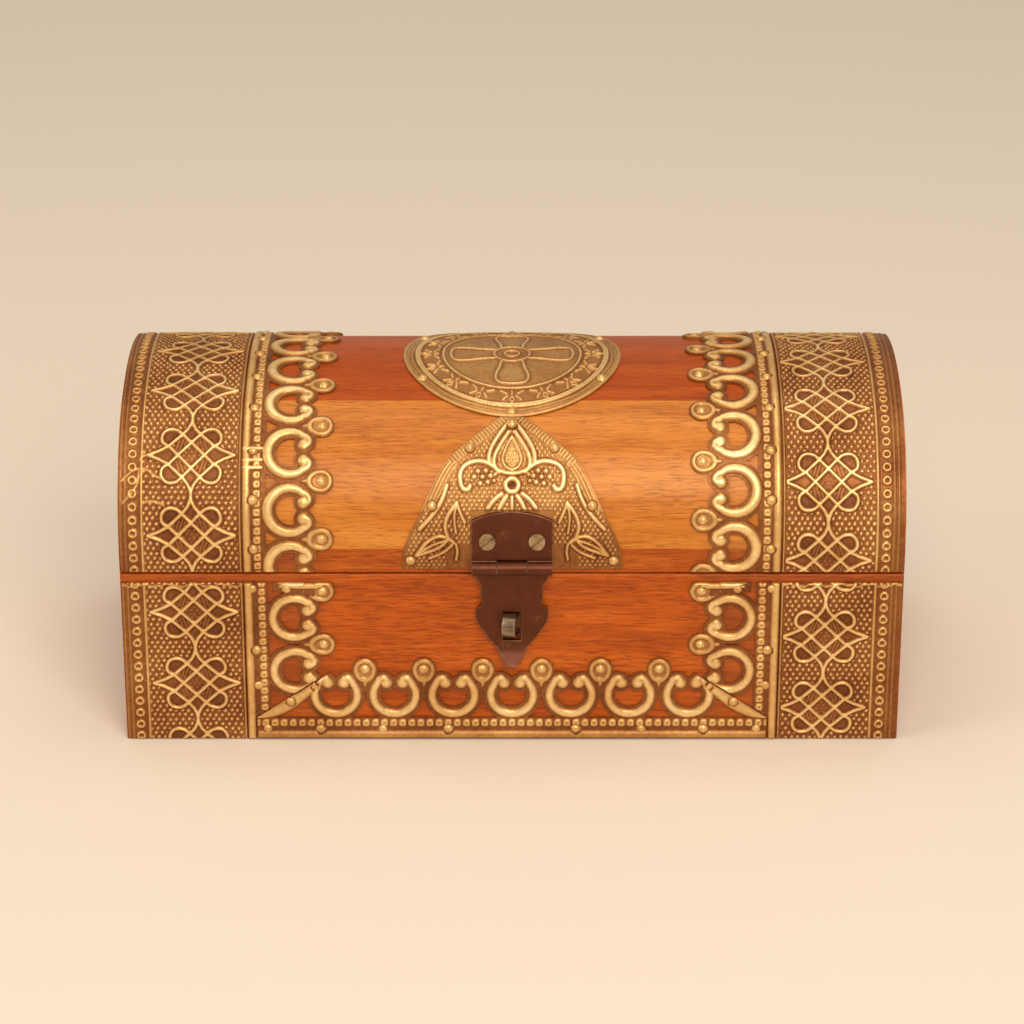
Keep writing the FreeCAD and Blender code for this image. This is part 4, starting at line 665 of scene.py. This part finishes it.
# Medallion on the crown of the lid: a brass disc pressed with rings, leaf sprigs and four petals.
# It is bent to the crown and pinned round its combed margin.
MEDALLION_RADIUS, MEDALLION_SPARE = 28.8, 0.3
MEDALLION_RINGS, PETAL_FIELD = (25.3, 24.6, 18.2, 4.7, 1.9), 18
MARGIN, MARGIN_PINS, COMB_PITCH, COMB_HALF = 25.9, 27.0, 1.1, 0.4
PETAL, PETAL_HALF = flowing([(4.6, 2.8), (8.0, 3.2), (11.0, 4.1), (13.8, 4.4), (15.8, 3.4), (16.2, 0)]), 0.42
SPRIG_FOOT = 18.6
SPRIG = [(0.4, [(0.9, 0), (2.0, 0)]), (0.3, flowing([(3.0, 0), (4.3, 0.75), (5.5, 0)])),
         (0.5, [(2.9, 1.1), (4.3, 2.3)]), (0.5, [(1.9, 1.5), (0.8, 2.9)])]      # half-widths and lines


def medallion(x, run):
    """Height, tone and outline of the medallion."""
    v = run - TOP_RUN
    radius, turn = np.hypot(x, v), np.arctan2(v, x)
    rings = np.minimum.reduce([np.abs(radius - at) for at in MEDALLION_RINGS])
    quarter, sprig = repeat(turn, math.pi / 2), repeat(turn, math.pi / 8)
    along, aside = radius * np.cos(quarter), np.abs(radius * np.sin(quarter))
    petal = from_path(along, aside, PETAL)
    out, off = radius * np.cos(sprig) - SPRIG_FOOT, np.abs(radius * np.sin(sprig))
    leaves = np.maximum.reduce([rounded(from_path(out, off, leaf), half) for half, leaf in SPRIG])
    line = np.maximum.reduce([rounded(rings, 0.4), rounded(petal, PETAL_HALF), 0.9 * leaves])
    edge = rounded(radius - MEDALLION_RADIUS + 0.5, 0.5)
    combed = rounded(repeat(radius + 0.15 * np.sin(9 * turn), COMB_PITCH), COMB_HALF) * (radius > MARGIN)
    seats = np.hypot(radius - MARGIN_PINS, MARGIN_PINS * repeat(turn - math.pi / 6, math.pi / 3))
    line, combed = np.where(seats < PIN_SEAT, 0, line), np.where(seats < PIN_SEAT, 0, combed)
    height = np.maximum.reduce([0.4 * line, 0.2 * edge, 0.1 * combed])
    shadow = np.exp(-((np.minimum(rings, petal) - 0.65) / 0.4) ** 2)
    field = np.where(radius < PETAL_FIELD, 0.55, 0.42) - 0.2 * shadow
    tone = np.maximum.reduce([field, 0.95 * line, 0.7 * edge, 0.6 * combed])
    return height, tone, radius - MEDALLION_RADIUS


reach = MEDALLION_RADIUS + MEDALLION_SPARE
disc = pressed_sheet("brass_lid_medallion", -reach, reach, TOP_RUN - reach, TOP_RUN + reach,
                     medallion, on_arch)
fix_brass(disc, "lid_medallion", "lid")

# Lotus plate over the hasp: a bell-shaped brass sheet, pressed with a lotus bud, side petals and leaf sprigs.
# It is bent over the front stave, cut hollow under the medallion's edge and pinned along its sides.
LOTUS_FOOT, LOTUS_APEX, LOTUS_HALF, LOTUS_SPARE = 1.6, 45.4, 28.4, 0.2
LOTUS_NECK, LOTUS_WAIST = 29.5, 17      # the margin is folded between these, and stroked over the neck
LOTUS_EDGE = flowing([(0, LOTUS_APEX), (12.2, 34.8), (17.9, 29.6), (22.8, 18.5), (28.2, 7.4),
                      (LOTUS_HALF, LOTUS_FOOT)])
LOTUS_PINS = [(0, 39.6), (10.9, 33.4), (20.6, 18.5), (26.2, 3.8)]
LOTUS_EYE, ROSETTE_X, ROSETTE_RUN = 23.8, 7.6, 25.9
LOTUS_RINGS = [(0, LOTUS_EYE, 1.7, 0.75), (ROSETTE_X, ROSETTE_RUN, 0, 0.75), (4.6, 24.9, 0, 0.6),
               (4.3, 26.5, 0, 0.6)]     # places, radii and half-widths; a radius of 0 is a bead
LOTUS_RINGS += [(ROSETTE_X + 2.1 * math.cos(turn), ROSETTE_RUN + 1.75 * math.sin(turn), 0, 0.8)
                for turn in range(6)]
LOTUS_LINES = [(half, flowing(line)) for half, line in (
    (0.7, [(0.8, 40.9), (3.2, 37.4), (5.1, 34.2), (6.0, 31.6), (5.9, 29.2)]),
    (0.65, [(0, 39.2), (2.9, 34.6), (4.8, 31.0), (4.4, 28.0), (2.0, 26.9), (0, 26.7)]),
    (0.4, [(0, 36.6), (1.6, 33.4), (2.6, 30.6), (1.8, 28.4), (0, 27.6)]),
    (0.75, [(3.3, 27.2), (5.4, 29.1), (7.9, 30.1), (10.9, 29.7), (13.0, 28.2), (13.5, 25.7), (12.9, 22.9),
            (11.3, 22.5), (10.8, 23.6)]),
    (0.75, [(2.7, 21.6), (4.6, 20.2), (6.2, 18.0)]),
    (0.75, [(1.4, 21.0), (2.5, 19.4), (3.3, 17.6)]),
    (0.6, [(0, 20.8), (0, 17.6)]),
    (0.65, [(16.7, 23.8), (18.0, 19.8), (20.5, 16.0), (23.8, 12.6)]),
    (0.6, [(14.2, 19.4), (16.7, 16.0), (17.4, 13.0), (16.3, 10.0)]),
    (0.5, [(14.2, 19.4), (13.4, 16.9), (12.1, 14.3)]),
    (0.4, [(14.2, 19.4), (15.0, 15.6), (14.4, 11.5)]),
    (0.55, [(24.7, 5.4), (22.2, 9.1), (19.2, 10.9), (16.3, 10.2), (15.0, 9.0)]),
    (0.5, [(24.7, 5.4), (21.8, 6.3), (18.4, 7.7), (16.3, 10.0)]),
    (0.35, [(24.0, 6.0), (21.0, 8.2), (17.0, 9.6)]),
    (0.45, [(15.4, 8.4), (17.6, 6.2), (21.4, 4.6)]),
    (0.4, [(14.4, 8.6), (14.0, 6.6), (14.4, 4.2)]))]
STROKE_PITCH, STROKE_HALF = 0.95, 0.3
MARGIN_PITCH, MARGIN_HALF = 0.9, 0.36
LOTUS_DOTS = (1.3, 0.46)                # pitch and radius
LEAF_HALF, LEAF_TOP = 10.7, 17.4        # the flat place for the hasp's leaf
BUD_RUN, BUD_WIDE, BUD_TALL = 31.6, 4.3, 5.6


def lotus(x, run):
    """Height, tone and outline of the lotus plate."""
    side = np.abs(x)
    edge = from_path(side, run, LOTUS_EDGE)
    width = np.interp(run, LOTUS_EDGE[::-1, 1], LOTUS_EDGE[::-1, 0])
    past = np.maximum.reduce([np.where(side > width, edge, -edge), LOTUS_FOOT - run,
                              MEDALLION_RADIUS + LOTUS_SPARE - np.hypot(x, run - TOP_RUN)])
    gaps = [(from_path(side, run, line), half) for half, line in LOTUS_LINES]
    gaps += [(np.abs(np.hypot(side - at, run - up) - radius), half) for at, up, radius, half in LOTUS_RINGS]
    line = np.maximum.reduce([rounded(gap, half) for gap, half in gaps])
    near = np.minimum.reduce([gap - half for gap, half in gaps])
    strokes = rounded(repeat(0.752 * side - 0.659 * run, STROKE_PITCH), STROKE_HALF)
    strokes = strokes * (run > LOTUS_NECK) * (edge < 2.3)
    folded = 0.8 * rounded(repeat(edge, MARGIN_PITCH), MARGIN_HALF)
    folded = folded * (run > LOTUS_WAIST) * (run < LOTUS_NECK) * (edge < 2.8)
    plain = (run < 8.5) & (side < 17) | (edge < np.where(run > LOTUS_WAIST, 2.9, 0.8)) | (near < 0.2)
    stamped = np.maximum.reduce([np.where(plain, 0, dotted(x, run, *LOTUS_DOTS)), 0.9 * strokes, folded])
    seats = np.minimum.reduce([np.hypot(side - pin_x, run - pin_run) for pin_x, pin_run in LOTUS_PINS])
    cleared = (side < LEAF_HALF) & (run < LEAF_TOP) | (seats < PIN_SEAT)
    line, stamped = np.where(cleared, 0, line), np.where(cleared, 0, stamped)
    bud = rounded(np.hypot(side / BUD_WIDE, (run - BUD_RUN) / BUD_TALL), 1)
    height = np.maximum(0.58 * line, 0.3 * stamped) + 0.12 * bud
    # the upper part is lighter, a painted highlight, and painted shade darkens the sheet beside the lines and
    # round the pins
    upper_highlight = np.clip((run - 4) / 16, 0, 1)
    shadow = np.exp(-((near - 0.2) / 0.25) ** 2)
    field = 0.24 + 0.2 * upper_highlight + 0.35 * bud - 0.2 * shadow - 0.3 * (seats < PIN_SEAT)
    tone = np.maximum.reduce([field, (0.75 + 0.25 * upper_highlight) * line, (0.68 + 0.22 * upper_highlight) * stamped])
    return height, np.where(np.hypot(x, run - LOTUS_EYE) < 0.9, 0.08, tone), past


plate = pressed_sheet("brass_lid_lotus_plate", -LOTUS_HALF - LOTUS_SPARE, LOTUS_HALF + LOTUS_SPARE,
                      LOTUS_FOOT - LOTUS_SPARE, LOTUS_APEX, lotus, on_arch)
fix_brass(plate, "lid_lotus_plate", "lid")

# Brass pins of the lid: the same round-headed nails as the base's, rubbed bright by handling.
# They go through the webs of the borders, the medallion's margin and the lotus plate's edge into the staves.
dress(pin_brass, "lid_left_pins", "lid_right_pins", "medallion_pins", "lotus_pins")

# Hasp: an iron leaf on the lid, and a plate with a slot that falls over the staple, both cut from sheet.
# They are rolled round one pin and browned; their edges are a lighter grey-brown, partly worn by handling and
# partly a painted highlight.
PLATE_FACE, PLATE_GAUGE, PLATE_BEND, LIP_TURN = -47.35, 1.2, 27.9, math.radians(-30)
HASP_AXIS_Y, HASP_AXIS_Z, KNUCKLE_RADIUS, KNUCKLE_LENGTH = -47.95, 50.8, 1.8, 7.6
PLATE_EDGE = np.vstack([                # the right side, from the knuckle down to the tip of the lip
    [(3.8, 50.8), (3.8, 48.6)],
    flowing([(9.4, 48.6), (9.4, 47.6), (8.2, 46.2), (7.7, 44.6), (8.15, 42.8), (7.5, 40.9)]),
    flowing([(7.6, 40.6), (7.8, 39.8), (9.4, 38.8), (9.5, 36.6), (8.7, 34.4), (7.4, 32.6), (6.3, 30.7),
             (3.95, 27.9)]),
    flowing([(3.9, 27.6), (3.0, 25.9), (2.2, 23.4), (0.9, 22.6), (0.1, 22.6)])])
PLATE_SLOT = [(-2.4, 29.7), (2.4, 29.7), (2.4, 38.2), (-2.4, 38.2)]
CUT_NEAR = 1e-4                         # points this near a cut count as on it


def cut(shape, place, way):
    """Parts a shape's faces along a plane."""
    bmesh.ops.bisect_plane(shape, geom=shape.verts[:] + shape.edges[:] + shape.faces[:], dist=CUT_NEAR,
                           plane_co=place, plane_no=way)


hasp_iron = browned_iron("browned_hasp_iron", "#4e2106", "#5e290a", "#a07a60")
dress(hasp_iron, "hasp_leaf", "hasp_pin")
sheet = bmesh.new()
for outline in (list(PLATE_EDGE) + [(-x, z) for x, z in PLATE_EDGE[::-1]], PLATE_SLOT):
    corners = [sheet.verts.new((x, PLATE_FACE, z)) for x, z in outline]
    for corner, after in zip(corners, corners[1:] + corners[:1]):
        sheet.edges.new((corner, after))
bmesh.ops.triangle_fill(sheet, use_beauty=True, edges=sheet.edges[:], normal=(0, -1, 0))
cut(sheet, (0, 0, PLATE_BEND), (0, 0, 1))
bmesh.ops.rotate(sheet, cent=(0, PLATE_FACE, PLATE_BEND), matrix=Matrix.Rotation(LIP_TURN, 3, "X"),
                 verts=[vert for vert in sheet.verts if vert.co.z < PLATE_BEND - 0.001])
bmesh.ops.solidify(sheet, geom=sheet.faces[:], thickness=PLATE_GAUGE)
axis = Matrix.Translation((0, HASP_AXIS_Y, HASP_AXIS_Z)) @ Matrix.Rotation(math.pi / 2, 4, "Y")
bmesh.ops.create_cone(sheet, cap_ends=True, segments=32, radius1=KNUCKLE_RADIUS, radius2=KNUCKLE_RADIUS,
                      depth=KNUCKLE_LENGTH, matrix=axis)
soften(finished(sheet, "iron_hasp_plate", hasp_iron, "hasp", "iron", "hasp_plate"))

# Screws of the hasp: two steel wood screws with low round heads, each slotted for a screwdriver.
# They hold the hasp's leaf, through the lotus plate, to the lid.
SCREW_SIDE, SCREW_RUN, SCREW_SEAT, SCREW_RISE, SCREW_RADIUS = 6.4, 9.8, 1.8, 0.95, 2.1
SLOT_HALF, SLOT_DEPTH, SLOT_WAY = 0.32, 0.45, Vector((0.64, -0.77, 0))
head = bmesh.new()
bmesh.ops.create_circle(head, cap_ends=True, segments=32, radius=SCREW_RADIUS)
for side in (-SLOT_HALF, SLOT_HALF):
    cut(head, side * SLOT_WAY, SLOT_WAY)
raised = bmesh.ops.extrude_face_region(head, geom=head.faces[:])["geom"]
bmesh.ops.translate(head, vec=(0, 0, SCREW_RISE), verts=points(raised))
slot_floor = min((part for part in raised if isinstance(part, bmesh.types.BMFace)),
                 key=lambda face: face.calc_center_median().xy.length)
sunk = bmesh.ops.extrude_face_region(head, geom=[slot_floor])["geom"]
bmesh.ops.delete(head, geom=[slot_floor], context="FACES_ONLY")
bmesh.ops.translate(head, vec=(0, 0, -SLOT_DEPTH), verts=points(sunk))
bmesh.ops.recalc_face_normals(head, faces=head.faces[:])
other = bmesh.ops.duplicate(head, geom=head.verts[:] + head.edges[:] + head.faces[:])["geom"]
bmesh.ops.translate(head, vec=(2 * SCREW_SIDE, 0, 0), verts=points(other))
x, run, out = np.array([vert.co for vert in head.verts]).T
for vert, place in zip(head.verts, on_arch(x - SCREW_SIDE, SCREW_RUN + run, SCREW_SEAT + out)):
    vert.co = place
finished(head, "steel_hasp_screws", screw_steel, "lid", "steel", "hasp_screws")

# Floor: a plain sheet of pale paper that the box stands on, matt and much wider than the view.
# It belongs to the picture, not to the part.
FLOOR_HALF = 4.0
floor_shape = bmesh.new()
bmesh.ops.create_grid(floor_shape, x_segments=2, y_segments=2, size=FLOOR_HALF)
floor_mesh = bpy.data.meshes.new("floor")
floor_shape.to_mesh(floor_mesh)
floor_shape.free()
floor_paper, floor_tree, floor_surface = new_finish("pale_paper")
paper = add(floor_tree, "ShaderNodeBsdfPrincipled", {"Base Color": linear("#e3d8cc"), "Roughness": 0.8})
floor_tree.links.new(paper.outputs[0], floor_surface)
floor_mesh.materials.append(floor_paper)
in_scene("floor", floor_mesh)

# Light: a pale world and three large soft lamps of warm white.
# The strongest stands over the front, and weaker ones fill in from the top and the left.
BOX_MIDDLE = Vector((0, 0, 0.05))
world = bpy.data.worlds.new("studio")
bpy.context.scene.world = world
world.use_nodes = True
world.node_tree.nodes["Background"].inputs["Color"].default_value = linear("#f5e9da")
world.node_tree.nodes["Background"].inputs["Strength"].default_value = 0.45


def soft_lamp(name, place, size, power):
    """A square lamp aimed at the box."""
    lamp = bpy.data.lights.new(name, "AREA")
    lamp.size, lamp.energy, lamp.color = size, power, linear("#fff3e0")[:3]
    holder = in_scene(name, lamp)
    holder.location = place
    holder.rotation_euler = (BOX_MIDDLE - Vector(place)).to_track_quat("-Z", "Y").to_euler()


soft_lamp("front_lamp", (0.2, -1.0, 0.9), size=0.8, power=13)
soft_lamp("top_lamp", (0.0, 0.1, 1.4), size=1.0, power=6)
soft_lamp("left_lamp", (-1.1, -0.5, 0.7), size=0.6, power=3.5)

# Camera: a long lens in front of the box and a little above it, at the photograph's angle.
# Its place and lens were fitted to the corners of the box.
camera = in_scene("camera", bpy.data.cameras.new("camera"))
camera.data.lens = 133.53
camera.data.sensor_width = 36
camera.data.sensor_fit = "HORIZONTAL"
camera.location = (0, -0.9313, 0.4744)
camera.rotation_euler = (math.radians(65.234), 0, 0)
bpy.context.scene.camera = camera
bpy.context.scene.view_settings.view_transform = "Standard"
